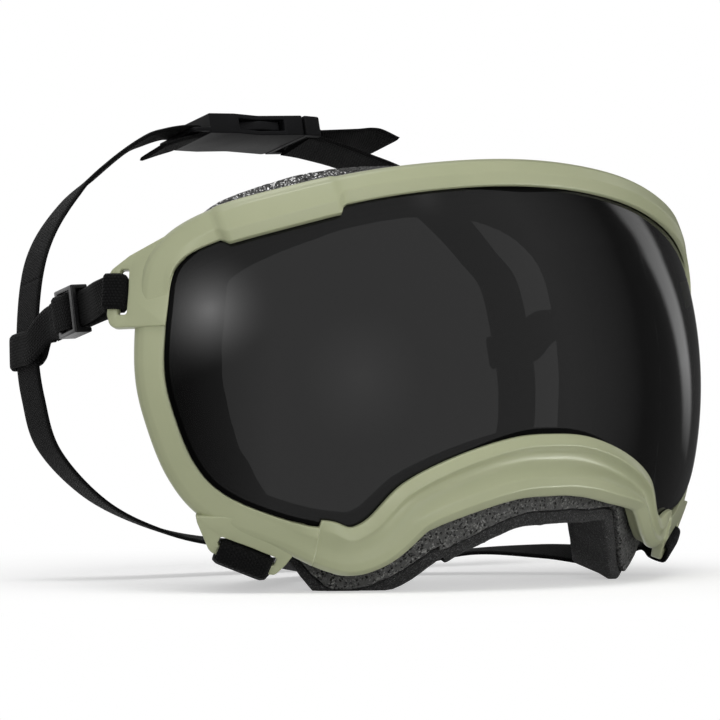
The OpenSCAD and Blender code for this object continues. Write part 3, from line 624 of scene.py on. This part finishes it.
def reach(polygon, centre, angles):
    """Distance from the centre to the polygon along each angle: the line centre + s (cos, sin)
    meets the edge a + t (b - a) where both cross products agree."""
    a, b = polygon - centre, np.roll(polygon, -1, 0) - centre
    dx, dy = np.cos(angles)[:, None], np.sin(angles)[:, None]
    ex, ey = (b - a)[:, 0], (b - a)[:, 1]
    bottom = dx * ey - dy * ex
    bottom = np.where(np.abs(bottom) < 1e-12, 1e-12, bottom)
    s = (a[:, 0] * ey - a[:, 1] * ex) / bottom
    t = (a[:, 0] * dy - a[:, 1] * dx) / bottom
    return np.where((s > 0) & (t > -1e-6) & (t < 1 + 1e-6), s, np.inf).min(1)


def slotted_plate(outline, slot, centre, low, high):
    """Plate with a slot, as a ring round the slot: for each angle the section runs up the slot's
    wall, over the top, down the outer wall and back underneath."""
    own = [np.arctan2(*(q - centre).T[::-1]) for q in (outline, slot)]
    angles = np.unique(np.round(np.concatenate(own + [np.linspace(-np.pi, np.pi, 97)[:-1]]), 4))
    ray = np.stack([np.cos(angles), np.sin(angles)], -1)
    near = centre + ray * reach(slot, centre, angles)[:, None]
    far = centre + ray * reach(outline, centre, angles)[:, None]
    levels = [(near, low), (near, high), (far, high), (far, low)]
    section = np.stack([np.c_[q, np.full(len(q), z)] for q, z in levels], 1)
    return soften(section, TAB_ROUND)


def dome_axes(azimuth, elevation):
    """Axes of a flat frame on the dome: level x, up y, outward normal z"""
    a, e = np.radians(azimuth), np.radians(elevation)
    n = np.array([np.sin(a) * np.cos(e), -np.cos(a) * np.cos(e), np.sin(e)])
    x = np.array([np.cos(a), np.sin(a), 0.0])
    return x, np.cross(n, x), n


def on_dome(axes, q):
    """x X + y Y + (R + z) N from the dome's centre"""
    x, y, n = axes
    q = np.asarray(q, float)
    return q[..., 0:1] * x + q[..., 1:2] * y + (LENS_R + q[..., 2:3]) * n + CENTRE


WIDE, NARROW, WEB_T, TAB_T, SLOT, BAR, GAP = 14.6, 9.6, 1.2, 3.0, 2.6, 2.9, 0.3
SLOT_CORNER, TAB_ROUND = 0.8, 0.55
TAB_BASE = -0.3 - TAB_T
upper_axes, lower_axes = dome_axes(54, 11.5), dome_axes(40, -18)
upper_slot_x, upper_slot_y = 3.2, 1.6
upper_bar = upper_slot_x + SLOT
upper_end = upper_bar + BAR
upper_outline = round_corners([[-7.6, -7.4, 0], [upper_end - 1.2, -8, 2.2], [upper_end, -4.5, 3],
    [upper_end, 7.2, 3], [3.4, 11.4, 5], [-6, 16.6, 0], [-9.6, 12, 0], [-8.6, 4, 0]])
upper_mid = np.array([upper_slot_x + SLOT / 2, upper_slot_y])
upper_slot = slot_outline(SLOT / 2, (NARROW + 2.4) / 2) + upper_mid
lower_outline = round_corners([[14.2, 5.6, 0], [13.9, 3.8, 1], [10.8, -4.4, 3], [6, -6.5, 1],
    [-5, -10.8, 1], [-6.3, -10.9, 1.6], [-9.2, -8.1, 4], [-12.4, -3.7, 3], [-17, 0.4, 0],
    [-12, 2.6, 0], [-2, 5.2, 0]])
tilt = math.radians(22.3)
lower_mid = np.array([0.9, -4.2])
turn_tab = np.array([[math.cos(tilt), math.sin(tilt)], [-math.sin(tilt), math.cos(tilt)]])
lower_slot = slot_outline((WIDE + 1.2) / 2, SLOT / 2) @ turn_tab + lower_mid
tab_pieces = []
for side, flip in (("left", [1, 1, 1]), ("right", [-1, 1, 1])):
    for level, axes, outline, slot, mid in (
            ("upper", upper_axes, upper_outline, upper_slot, upper_mid),
            ("lower", lower_axes, lower_outline, lower_slot, lower_mid)):
        plate = on_dome(axes, slotted_plate(outline, slot, mid, TAB_BASE, TAB_BASE + TAB_T))
        tab_mesh = point_out(grid_mesh(f"{level}_tab_{side}", plate * flip))
        tab_pieces.append(finish_piece(tab_mesh.name, tab_mesh, "goggles", green))
for piece in [frame_ring] + tab_pieces:
    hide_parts("frame")
print("tabs:", [p.name for p in tab_pieces])

# %% [markdown]
# ## The lens
# The lens is a smoked sheet, 2.2 mm thick, cut from a sphere. Seen from outside it is nearly
# black, glossy, and just clear enough to show the far strap and the foam's opening. Just
# inside its edge runs a black line of painted shade: the shadow in the gap under the frame's
# lip, painted as a dark band without reflection. The line is a mask on the distance from the
# edge, kept as an attribute of the mesh.

# %% Smoked lens
MIDDLE_UP, RIM_IN, RIM_OUT = 38.0, 0.12, 0.07


def lens_grid(per_row=8, across=44):
    """Dome patch: rays from a middle point to each edge point, on the outer and inner face.

    Point (i, j) is R unit(m + t (e_i - m)), with m the middle and t from nearly 0 to 1. The
    middle sits high enough to see every edge point over the nose's arch. The edge reaches
    under the lip by the grip, except where the lens's edge is bare."""
    s = Stations(per_row)
    grip = GRIP * (1 - np.clip(s.rows[:, SUNK] / 0.4, 0, 1))
    edge = s.p + grip[:, None] * s.out
    middle = dome_point(np.array(0.0), np.array(MIDDLE_UP))
    t = 1 - (1 - np.linspace(0, 1, across)) ** 1.6
    t[0] = 0.004
    ray = unit(middle + t[None, :, None] * (edge - middle)[:, None])
    reach_mm = np.linalg.norm(edge - middle, axis=1)[:, None] * (1 - t)[None, :] - grip[:, None]
    outer, inner = LENS_R * ray + CENTRE, (LENS_R - LENS_T) * ray[:, ::-1] + CENTRE
    outer_edge = (LENS_R - RIM_IN) * unit(ray[:, -1] * LENS_R + RIM_OUT * s.out) + CENTRE
    points = np.concatenate([outer, outer_edge[:, None], inner], 1)
    normals = np.concatenate([ray, ray[:, -1:], -ray[:, ::-1]], 1)
    distance = np.concatenate([reach_mm, reach_mm[:, -1:], reach_mm[:, ::-1]], 1)
    return points, distance, normals


lens_points, lens_edge, lens_normals = lens_grid()
lens_mesh = grid_mesh("lens_sheet", lens_points, True, False, attribute=("edge_mm", lens_edge))
pole = bmesh.new()
pole.from_mesh(lens_mesh)
bmesh.ops.holes_fill(pole, edges=[e for e in pole.edges if e.is_boundary], sides=0)
pole.to_mesh(lens_mesh)
pole.free()
point_out(lens_mesh)
lens_mesh.normals_split_custom_set_from_vertices(lens_normals.reshape(-1, 3).tolist())

smoked, smoked_shader, smoked_tree = material("smoked_sheet")
edge_value = add(smoked_tree, "Attribute", attribute_name="edge_mm")
# Painted shade: a band about 1.5 mm wide inside the edge, under the frame's lip, is made nearly
# black, opaque and without reflection
line = Signal(edge_value, "Fac").ramp(1.4, 1.65, 1.0, 0.0)
haze = Signal(add(smoked_tree, "TexNoise", object_place(smoked_tree), Scale=9.0, Detail=2.0))
tint = haze.ramp(0.3, 0.7).mix(grey(0.003), grey(0.0036))
fill(smoked_shader, Base_Color=line.mix(tint, grey(0.0015)),
    Alpha=line.ramp(0.0, 1.0, 0.885, 1.0), Roughness=haze.ramp(0.2, 0.8, 0.06, 0.09),
    Specular_IOR_Level=line.ramp(0.0, 1.0, 0.36, 0.04))
lens_sheet = finish_piece("lens_sheet", lens_mesh, "goggles", smoked)
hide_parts("lens")
rubber = plastic("seal_rubber", grey(0.012), grey(0.016), 0.7, 0.00008)
nodes["lens_gasket"].data.materials.clear()
nodes["lens_gasket"].data.materials.append(rubber)
print("lens", len(lens_mesh.polygons), "faces")

# %% [markdown]
# ## The foam
# Two foams are glued together: an open, speckled one next to the frame and a fine, dark one
# that touches the face. Foam is cut, not moulded, so its surface is rough: small cells are
# open, and the light falls into them. Large cells are a Voronoi pattern in colour and bump,
# and the outline is slightly lumpy in the mesh itself.
# The darkness of the open cells is painted shade in the foam's colour.

# %% Foam materials
cell_group, cell_in, cell_out = new_group("open_cells", "Vector", {"Cell mm": 0.8},
    ["Pore", "Height", "Speckle", "Torn"])


def voronoi(at, size):
    """Voronoi pattern of distances to the nearest point; a larger size has smaller cells"""
    return add(cell_group, "TexVoronoi", at, feature="F1", Scale=size, Randomness=1.0)


cell_at = add(cell_group, "VectorMath", Signal(cell_in, "Vector"), operation="SCALE",
    Scale=Signal(cell_in, "Cell mm").math("POWER", -1.0) * 1000.0)
warp = add(cell_group, "TexNoise", cell_at, Scale=1.3, Detail=1.0)
warped = add(cell_group, "VectorMath", Signal(warp, "Color"), (0.9, 0.9, 0.9), cell_at,
    operation="MULTIPLY_ADD")
cells, walls, grit = voronoi(warped, 1.0), voronoi(cell_at, 2.7), voronoi(cell_at, 2.2)
speck = Signal(add(cell_group, "TexNoise", cell_at, Scale=0.55, Detail=4.0, Roughness=0.7))
grit_split = add(cell_group, "SeparateXYZ", Signal(grit, "Color"))
# Pore marks the open cells: a hollow in the bump, and where the colour gets painted shade
pore = Signal(cells, "Distance").ramp(0.24, 0.46, 1.0, 0.0) * speck.ramp(0.38, 0.47)
fill(cell_out, Pore=pore, Height=Signal(walls, "Distance") * 0.45 - pore,
    Speckle=Signal(grit_split, "X").ramp(0.62, 0.95) * speck.ramp(0.4, 0.6),
    Torn=Signal(grit_split, "Y").ramp(0.30, 0.34))


def foam_material(name, cell_mm, wall, light, dark, bump, pore_shade_depth, torn_over=None):
    """Cut foam: wall colour with light specks and pores darkened by painted shade, all rough, with
    a soft sheen. Above the height torn_over it is torn: single cells are open to the one behind"""
    m, shader, tree = material(name)
    at = object_place(tree)
    cell = add(tree, "Group", node_tree=cell_group, Vector=at, Cell_mm=cell_mm)
    # Painted shade: where the pore mask is high, the colour is pulled towards the dark pore colour
    speckle, pores = Signal(cell, "Speckle"), Signal(cell, "Pore") * pore_shade_depth
    fill(shader, Base_Color=pores.mix(speckle.mix(wall, light), dark),
        Roughness=speckle.ramp(0.0, 1.0, 0.96, 0.86), Specular_IOR_Level=0.2, Sheen_Weight=0.1,
        Normal=relief(Signal(cell, "Height"), 0.9, bump))
    if torn_over:
        below = Signal(add(tree, "SeparateXYZ", at), "Z").ramp(torn_over, torn_over - 0.01)
        fill(shader, Alpha=Signal(cell, "Torn").math("MAXIMUM", below))
    return m


coarse = foam_material("open_cell_foam", 1.0, colour(0.085, 0.085, 0.083),
    colour(0.27, 0.27, 0.26), grey(0.006), 0.0006, 0.95, torn_over=0.105)
close = foam_material("close_cell_foam", 0.5, grey(0.022), grey(0.12), grey(0.008), 0.0003, 0.8)
print("foams:", coarse.name, close.name)

# %% Foam rings
BASE_T, FACE_T, DRAW, BAND, PRESSED = 17.0, 11.0, 0.5, 4.6, 0.5
OUTER_B, INNER_B = -2.4, -4.6


def spread_at(r, t, p):
    """Outer edge of the foam at depth t with share p of its spread; near the nose the front
    edge has nearly all of the spread and the opening widens towards the face"""
    full = r[:, UNDER]
    spread = (r[:, SPREAD] + 1) * mix(p, 0.97 + 0.03 * p, full)
    return r[:, WIDTH] - 1.4 + spread - DRAW * r[:, DEPTH_SHARE] * full * t


def depth_at(r, t):
    """Depth behind the dome of foam depth t: that of the skirt, less the 0.5 mm by which the
    foam is pressed onto it, plus t times the depth share"""
    skirt = SKIRT_FROM + (SKIRT - SKIRT_FROM) * r[:, SKIRT_SHARE]
    return skirt - PRESSED + t * r[:, DEPTH_SHARE]


def coarse_profile(r):
    """Section of the coarse layer; a fine band shows below it along the nose"""
    full, band = r[:, UNDER], BAND * r[:, UNDER]
    i0, i1 = mix(-4.2, 1.2, full), mix(-5.3, 5.0, full)
    o0, o1 = spread_at(r, 0, 0.1) - band, spread_at(r, BASE_T, 0.65) - band
    d0, d1 = depth_at(r, 0), depth_at(r, BASE_T)
    return corners_of([(o0 - 0.5, OUTER_B, d0),
        (mix(o0, o1, 0.5) + 0.5 * (1 - full), OUTER_B, mix(d0, d1, 0.5)), (o1, OUTER_B, d1),
        (mix(o1, i1, 0.5), OUTER_B, d1), (i1, INNER_B, d1), (i0, INNER_B, d0)], len(r))


def fine_profile(r):
    """Section of the fine layer: behind the coarse one, and forward under it at the nose"""
    full, band = r[:, UNDER], BAND * r[:, UNDER]
    o0, o1 = spread_at(r, 0, 0.1) - band + 0.5, spread_at(r, BASE_T, 0.65) - band + 0.5
    dm, d2 = depth_at(r, BASE_T) + 0.2, depth_at(r, BASE_T + FACE_T)
    f = mix(0.96, 0.12, full)
    df, of = mix(depth_at(r, 0), dm, f), mix(o0, o1, f)
    step = 0.6 + (BAND - 0.8) * full
    i1, i2 = mix(-5.4, 5.2, full), mix(-6, 7.5, full)
    outer = spread_at(r, BASE_T + FACE_T, 1) + 0.6 * (1 - full)
    return corners_of([(of + step, OUTER_B, df), (outer, OUTER_B, d2),
        (mix(of, i2, 0.5), OUTER_B, d2), (i2, INNER_B, d2), (i1, INNER_B, dm), (o1, OUTER_B, dm),
        (of, OUTER_B, df)], len(r))


LEFT_LEG = {12: -0.6, 13: -3.6, 14: -2.6, 15: -0.8}
COARSE_SWELL = LEFT_LEG | {28: 1.5, 29: 5.0, 30: 6.0, 31: 4.0, 32: 2.4, 33: 1.4, 0: 0.6, 1: 0.2}
FINE_SWELL = LEFT_LEG | {29: -0.5, 30: -2.0, 31: -3.0, 32: -3.0, 33: -2.5, 0: -1.5, 1: -0.5}
FLAT_AT, TURN = 0.02, 6.283


def lumps(points, size, seed):
    """Smooth lumps: a sum of sines of the place with turned axes and mixed wave lengths"""
    rng = np.random.default_rng(seed)
    waves = rng.normal(size=(14, 3)) / size
    phase = rng.uniform(0, TURN, 14)
    return np.sin(points @ waves.T * TURN + phase).mean(-1)


def foam_ring(name, profile, radii, swell, mat, node, depth):
    """Foam ring with soft corners, flat where it meets the floor, with 9 mm lumps up to the
    depth high and 3 mm lumps half as high. The swell adds to the spread at the outline's rows:
    worn foam stands prouder or lower on the dog's right brow, and lower on the left leg."""
    s = Stations(12)
    s.rows[:, SPREAD] += from_rows(s.at, swell)
    points = s.place(soften(profile(s.rows), radii, 8))
    middle = points.mean(1, keepdims=True)
    rise = lumps(points, 9.0, 3) * depth + lumps(points, 3.0, 4) * depth * 0.5
    points = points + unit(points - middle) * rise[..., None]
    points[..., 2] = np.maximum(points[..., 2], FLAT_AT)
    piece = finish_piece(name, point_out(grid_mesh(name, points)), "goggles", mat)
    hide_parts(node)
    return piece


coarse_foam = foam_ring("coarse_foam_ring", coarse_profile, [1.2, 3.0, 0.8, 2.0, 1.2, 2.0],
    COARSE_SWELL, coarse, "foam_base", 0.5)
fine_foam = foam_ring("fine_foam_ring", fine_profile, [2.0, 2.4, 2.5, 2.2, 0.8, 0.4, 0.4],
    FINE_SWELL, close, "foam_face", 0.3)
print("foam rings", len(coarse_foam.data.polygons), len(fine_foam.data.polygons), "quads")

# %% [markdown]
# ## Webbing
# The harness is flat polyester webbing. A strap is a rounded flat section carried along a
# smooth path, and the weave follows the strap by its UV map, in which u and v are metres
# along and across it. Ribs cross the strap, and every second yarn column is half a rib off.
# Where the weave is low, between ribs and yarns, its colour is darker: painted shade.

# %% Webbing material
weave_group, weave_in, weave_out = new_group("ribbed_weave", "UV",
    {"Rib mm": 0.85, "Yarn mm": 0.8}, ["Height", "Shade"])
weave_uv = Signal(weave_in, "UV")
weave_split = add(weave_group, "SeparateXYZ", weave_uv)
fuzz = Signal(add(weave_group, "TexNoise", weave_uv, Scale=2600.0, Detail=2.0))
along_ribs = Signal(weave_split, "X") * 1000.0 / Signal(weave_in, "Rib mm")
across_yarns = Signal(weave_split, "Y") * 1000.0 / Signal(weave_in, "Yarn mm")
odd = across_yarns.math("FLOOR").math("MODULO", 2.0)
rib = abs(((along_ribs + odd * 0.5) * math.pi).math("SINE"))
yarn = abs((across_yarns * math.pi).math("SINE"))
weave_height = rib.math("POWER", 0.6) * yarn.math("POWER", 0.35)
# Shade is painted shade: low in the grooves of the weave, high on its ribs, with random fuzz
fill(weave_out, Height=weave_height, Shade=weave_height * fuzz.ramp(0.3, 0.7, 0.6, 1.0))
# Shade and bump come from the weave: the colour is darker where the weave is low, painted shade
# in the grooves, with a little random fuzz in the tone. The webbing is rough, with a little sheen
webbing, webbing_shader, webbing_tree = material("black_webbing")
weave = add(webbing_tree, "Group", node_tree=weave_group,
    UV=add(webbing_tree, "UVMap", uv_map="UVMap"))
shade = Signal(weave, "Shade")
fill(webbing_shader, Base_Color=shade.mix(grey(0.0012), colour(0.0068, 0.0068, 0.007)),
    Roughness=shade.ramp(0.0, 1.0, 0.82, 0.62), Specular_IOR_Level=0.08, Sheen_Weight=0.02,
    Normal=relief(Signal(weave, "Height"), 0.8, 0.0003))


# %% Strap paths
def strap(name, rows, width, node, body="goggles", steps=14, first=0, last=None):
    """Ribbon along a Catmull-Rom path of centre points and width directions, from the row first
    to the row last; rows outside those only steer the curve, so that two straps join smoothly.

    Its section is flat with round edges: at the share s of half the width, it is
    (1 - |s|^9)^0.5 of half the thickness high."""
    last = len(rows) - 1 if last is None else last
    path = blend_rows(rows, np.arange((len(rows) - 1) * steps + 1) / steps, False)
    p, wide = path[:, :3], unit(path[:, 3:6])
    along = unit(np.gradient(p, axis=0))
    normal = unit(np.cross(along, wide))
    side = np.cross(normal, along)
    used = slice(first * steps, last * steps + 1)
    p, normal, side = p[used], normal[used], side[used]
    across = np.linspace(-1, 1, 15)
    lift = (1 - np.abs(across) ** 9) ** 0.5
    a = np.concatenate([across, across[-2:0:-1]]) * width / 2
    b = np.concatenate([-lift, lift[-2:0:-1]]) * WEB_T / 2
    points = (p[:, None] + a[None, :, None] * side[:, None]
        + b[None, :, None] * normal[:, None] + CENTRE)
    length = np.concatenate([[0], np.cumsum(np.linalg.norm(np.diff(p, axis=0), axis=1))])
    v = np.append(a, a[0]) + width / 2
    uv = np.stack(np.broadcast_arrays(length[:, None] * MM, v[None] * MM), -1)
    mesh = point_out(grid_mesh(name, points, False, True, uv=uv, caps=True))
    piece = finish_piece(name, mesh, body, webbing)
    mesh.polygons[-1].use_smooth = mesh.polygons[-2].use_smooth = False
    if node:
        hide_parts(node)
    print(name, round(length[-1], 1), "mm")
    return piece


def mirror_rows(rows):
    """The same rows mirrored in x"""
    return np.multiply(rows, [-1, 1, 1, -1, 1, 1])


def flip_rows(rows):
    """The same rows on the other side, in reverse order, for a path that runs across"""
    return mirror_rows(rows)[::-1]


head_rows = np.array([
    [27.9, 5, 72.3, 0, 0.97, -0.24], [31.5, 5, 72.2, 0, 0.97, -0.24],
    [38, 4.6, 70.8, 0, 0.95, -0.3], [46, 3.5, 68.2, 0, 0.93, -0.36],
    [59.5, 0.5, 60.6, 0, 0.89, -0.46], [68.7, 2, 52.6, -0.03, 0.93, -0.36],
    [78.3, 1, 41.4, -0.1, 0.965, -0.24], [84.3, -1.6, 29, -0.15, 0.975, -0.15],
    [87.2, -4, 10.8, -0.17, 0.98, -0.1], [86.9, -6.5, -3, -0.15, 0.985, -0.05],
    [83.0, -8.5, -16.8, -0.12, 0.985, 0.04], [69.0, -10, -30.2, -0.06, 0.98, 0.14],
    [49, -8, -38.6, 0, 0.98, 0.16], [28, -6, -43.2, 0, 0.99, 0.14], [0, -4, -45, 0, 1, 0.1]])
left_rows = np.array([
    [12.5, 5, 69.7, 0, 0.93, -0.36], [20, 5, 68.8, 0, 0.93, -0.36],
    [33.6, 4.5, 65.6, 0, 0.95, -0.3], [46, 3, 61.2, 0, 0.94, -0.36],
    [58, 1, 54.4, 0, 0.9, -0.44], [68, 1.5, 47.4, -0.05, 0.93, -0.34],
    [77.5, 0.6, 38.2, -0.1, 0.965, -0.22]])
tail_left = [[16.5, 4.8, 71.3, 0.1, 0.93, -0.36], [30.7, 4.6, 72.0, 0.12, 0.92, -0.38],
    [38.2, 4.6, 72.4, 0.15, 0.9, -0.38], [44.8, 4.6, 70.5, 0.17, 0.9, -0.38]]
tail_right = [[-27.7, 5, 72.3, 0, 0.97, -0.24], [-26.7, 4.9, 72.1, 0, 0.97, -0.24],
    [-26.3, 4.7, 71.1, 0, 0.97, -0.24], [-26.9, 4.4, 69.7, 0, 0.97, -0.24],
    [-28.5, 4.3, 69.3, 0, 0.96, -0.28], [-33, 4.3, 68.2, 0, 0.95, -0.3],
    [-39, 4.2, 66.4, 0, 0.95, -0.3]]
lower_path = np.vstack([head_rows[6:], flip_rows(head_rows[6:])[1:]])
strap("head_webbing_lower", lower_path, WIDE, "head_strap_lower", first=1, last=15)
left_head = strap("head_webbing_left", np.vstack([left_rows, head_rows[7:9]]), WIDE,
    "head_strap_left", None, last=7)
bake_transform(left_head)
strap("head_webbing_right", flip_rows(head_rows[:9]), WIDE, "head_strap_right", first=1)
strap("webbing_tail_left", tail_left, WIDE, "strap_tail_left", "plug")
strap("webbing_tail_right", tail_right, WIDE, "strap_tail_right")
# The loop round the plug's bar, from places along, across and up from the buckle's middle
buckle_mid = np.array([0, 5, 72.6])
buckle_up, buckle_wide = np.array([0, 0.242, 0.970]), np.array([0, 0.970, -0.242])
plug_path = [[17.5, 0.8, -2.9], [15.2, 0.7, -2.4], [13.4, 0.5, -1.85], [11.9, 0.4, -1.3],
    [11.3, 0.4, 0], [11.9, 0.4, 1.3], [13.6, 0.3, 1.85], [15.2, 0.3, 1.1], [16.6, 0.2, -0.3],
    [18.4, 0.1, -0.9]]
plug_axes = np.array([[1, 0, 0], buckle_wide, buckle_up])
plug_rows = np.hstack([plug_path @ plug_axes + buckle_mid,
    np.tile(buckle_wide, (len(plug_path), 1))])
strap("plug_loop", plug_rows, WIDE, None, "plug")

# %% Temple straps and keepers
temple_start = np.array([97.6, -62.5, 25.2])
temple_dir = unit([-0.2, 0.965, -0.17])
temple_wide = unit([0, 0.2, 0.98])
temple_out = unit(np.cross(temple_dir, temple_wide))
SLIDER_AT, LIFT = 24.0, WEB_T + 2 * GAP + 1.5
TAB_TOP, CORNER = TAB_BASE + TAB_T, WEB_T / 2 + 0.1
WRAP_OUT, WRAP_IN = TAB_TOP + GAP + WEB_T / 2, TAB_BASE - GAP - WEB_T / 2


def temple_row(k, lift):
    """Row k mm along the temple strap, raised by lift"""
    return np.concatenate([temple_start + k * temple_dir + lift * temple_out, temple_wide])


def slider_row(k, lift):
    """Row k mm past the slider's middle, raised by lift over the slider's middle bar"""
    return temple_row(SLIDER_AT + k, LIFT + lift)


def upper_row(x, z):
    """Row on the upper tab's own axes"""
    at = on_dome(upper_axes, [x, upper_slot_y, z]) - CENTRE
    return np.concatenate([at, upper_axes[1]])


keeper_mid = head_rows[8, :3]
keeper_wide = unit(head_rows[7, :3] - head_rows[9, :3])
keeper_out = unit(np.cross(head_rows[8, 3:6], keeper_wide))
keeper_along = unit(np.cross(keeper_wide, keeper_out))
KEEP, HALF = WEB_T + GAP + 0.4, WIDE / 2


def keeper_row(along, out):
    """Row of the keeper's fold, along the temple strap and out from the head strap"""
    return np.concatenate([keeper_mid + along * keeper_along + out * keeper_out, keeper_wide])


def rows_by(row, *pairs):
    """List of rows made by one row function from pairs of numbers"""
    return [row(*pair) for pair in pairs]


# From its free end the strap runs over the slider, round the tab's bar and back to the keeper
temple_rows = rows_by(slider_row, (15, 0), (8, 0), (0, 0), (-9, 0), (-18, 1.2)) + rows_by(
    upper_row, (upper_end + 1.0, TAB_BASE + TAB_T / 2), (upper_end + CORNER, TAB_TOP + CORNER),
    (upper_bar + BAR / 2, WRAP_OUT + 0.1), (upper_bar - CORNER, TAB_TOP + CORNER),
    (upper_bar - SLOT / 2, TAB_BASE + TAB_T / 2), (upper_bar - CORNER, TAB_BASE - CORNER),
    (upper_bar + BAR / 2, WRAP_IN - 0.1), (upper_end - 0.2, WRAP_IN - 0.9)) + rows_by(
    temple_row, (6, 0), (14, 0), (28, 0), (43.7, 0))
keeper_rows = rows_by(temple_row, (44.7, 0), (50, 0)) + rows_by(
    keeper_row, (-HALF + 1.5, -KEEP), (0, -KEEP), (HALF - 1.2, -KEEP), (HALF + 1.3, 0),
    (HALF - 1.2, KEEP), (0, KEEP), (-HALF + 1, KEEP)) + rows_by(temple_row, (46, 1.75), (38, 1.7))
loop_rows = rows_by(slider_row, (-3.0, 0.4), (-1.4, 2.2), (2.0, 3.0), (5.2, 3.2), (6.7, 2.0),
    (6.5, 0.9))
for side, turn_side in (("left", np.asarray), ("right", mirror_rows)):
    strap(f"temple_webbing_{side}", turn_side(temple_rows), NARROW, f"temple_strap_{side}")
    strap(f"keeper_webbing_{side}", turn_side(keeper_rows), NARROW, f"keeper_{side}")
    strap(f"slider_loop_{side}", turn_side(loop_rows), NARROW, None, f"slider_{side}")


# %% Chin strap
lower_wide = math.cos(tilt) * lower_axes[0] + math.sin(tilt) * lower_axes[1]
lower_down = math.sin(tilt) * lower_axes[0] - math.cos(tilt) * lower_axes[1]


def lower_row(v, z):
    """Row on the lower tab's own axes, v mm down from the slot's middle"""
    at = on_dome(lower_axes, [lower_mid[0], lower_mid[1], z]) - CENTRE
    return np.concatenate([at + v * lower_down, lower_wide])


bar_far = SLOT / 2 + BAR
chin_wrap = rows_by(lower_row, (1.6, WRAP_IN - 0.6), (0.4, TAB_BASE - 0.3),
    (0.2, TAB_BASE + TAB_T * 0.55), (SLOT / 2 - CORNER, TAB_TOP + CORNER),
    (SLOT / 2 + BAR / 2, WRAP_OUT + 0.1), (bar_far + CORNER, TAB_TOP + CORNER - 0.1),
    (bar_far + GAP + WEB_T / 2 + 0.1, TAB_BASE + TAB_T / 2), (bar_far + CORNER, TAB_BASE - CORNER),
    (bar_far - 0.4, WRAP_IN - 3.2))
chin_half = np.array(chin_wrap + [[66, -72, -47.6, 0.75, 0.5, 0.36],
    [52, -59, -46.6, 0.6, 0.75, 0.2], [35, -46, -46.8, 0.42, 0.9, 0],
    [16, -37, -50.4, 0.2, 0.98, 0]])
chin_middle = [[0, -34, WEB_T / 2 - CENTRE[2], 0, 1, 0]]
strap("chin_webbing", np.vstack([chin_half, chin_middle, flip_rows(chin_half)]), WIDE,
    "chin_strap")

# %% [markdown]
# ## Slider and buckle
# Their forms are right in the CAD but their edges are sharp. A copy of each is merged, its
# flat faces are joined again, and a small bevel rounds the edges, as a mould does. The copy
# takes the CAD node's place.

# %% Bevelled copies
MERGE, FLAT_DEG, BEVEL_DEG = 0.00002, 3, 35


def rounded_copy(node, width, mat, body):
    """Copy of a CAD node with merged points, rejoined flat faces and bevelled edges"""
    mesh = nodes[node].data.copy()
    mesh.name = node + "_moulded"
    mesh.materials.clear()
    work = bmesh.new()
    work.from_mesh(mesh)
    bmesh.ops.remove_doubles(work, verts=work.verts, dist=MERGE)
    bmesh.ops.dissolve_limit(work, angle_limit=math.radians(FLAT_DEG), verts=work.verts,
        edges=work.edges)
    work.to_mesh(mesh)
    work.free()
    piece = finish_piece(mesh.name, mesh, body, mat)
    bevel = piece.modifiers.new("soft_edges", "BEVEL")
    bevel.width, bevel.segments, bevel.harden_normals = width, 3, True
    bevel.limit_method, bevel.angle_limit = "ANGLE", math.radians(BEVEL_DEG)
    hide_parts(node)
    return piece


for side in ("left", "right"):
    rounded_copy(f"slider_{side}", 0.00035, slider_black, f"slider_{side}")
for node, width, body in (("buckle_socket", 0.0004, "goggles"), ("buckle_plug", 0.0004, "plug"),
        ("buckle_arm_front", 0.0003, "arm_front"), ("buckle_arm_back", 0.0003, "arm_back")):
    rounded_copy(node, width, buckle_black, body)
print("moulded copies made")
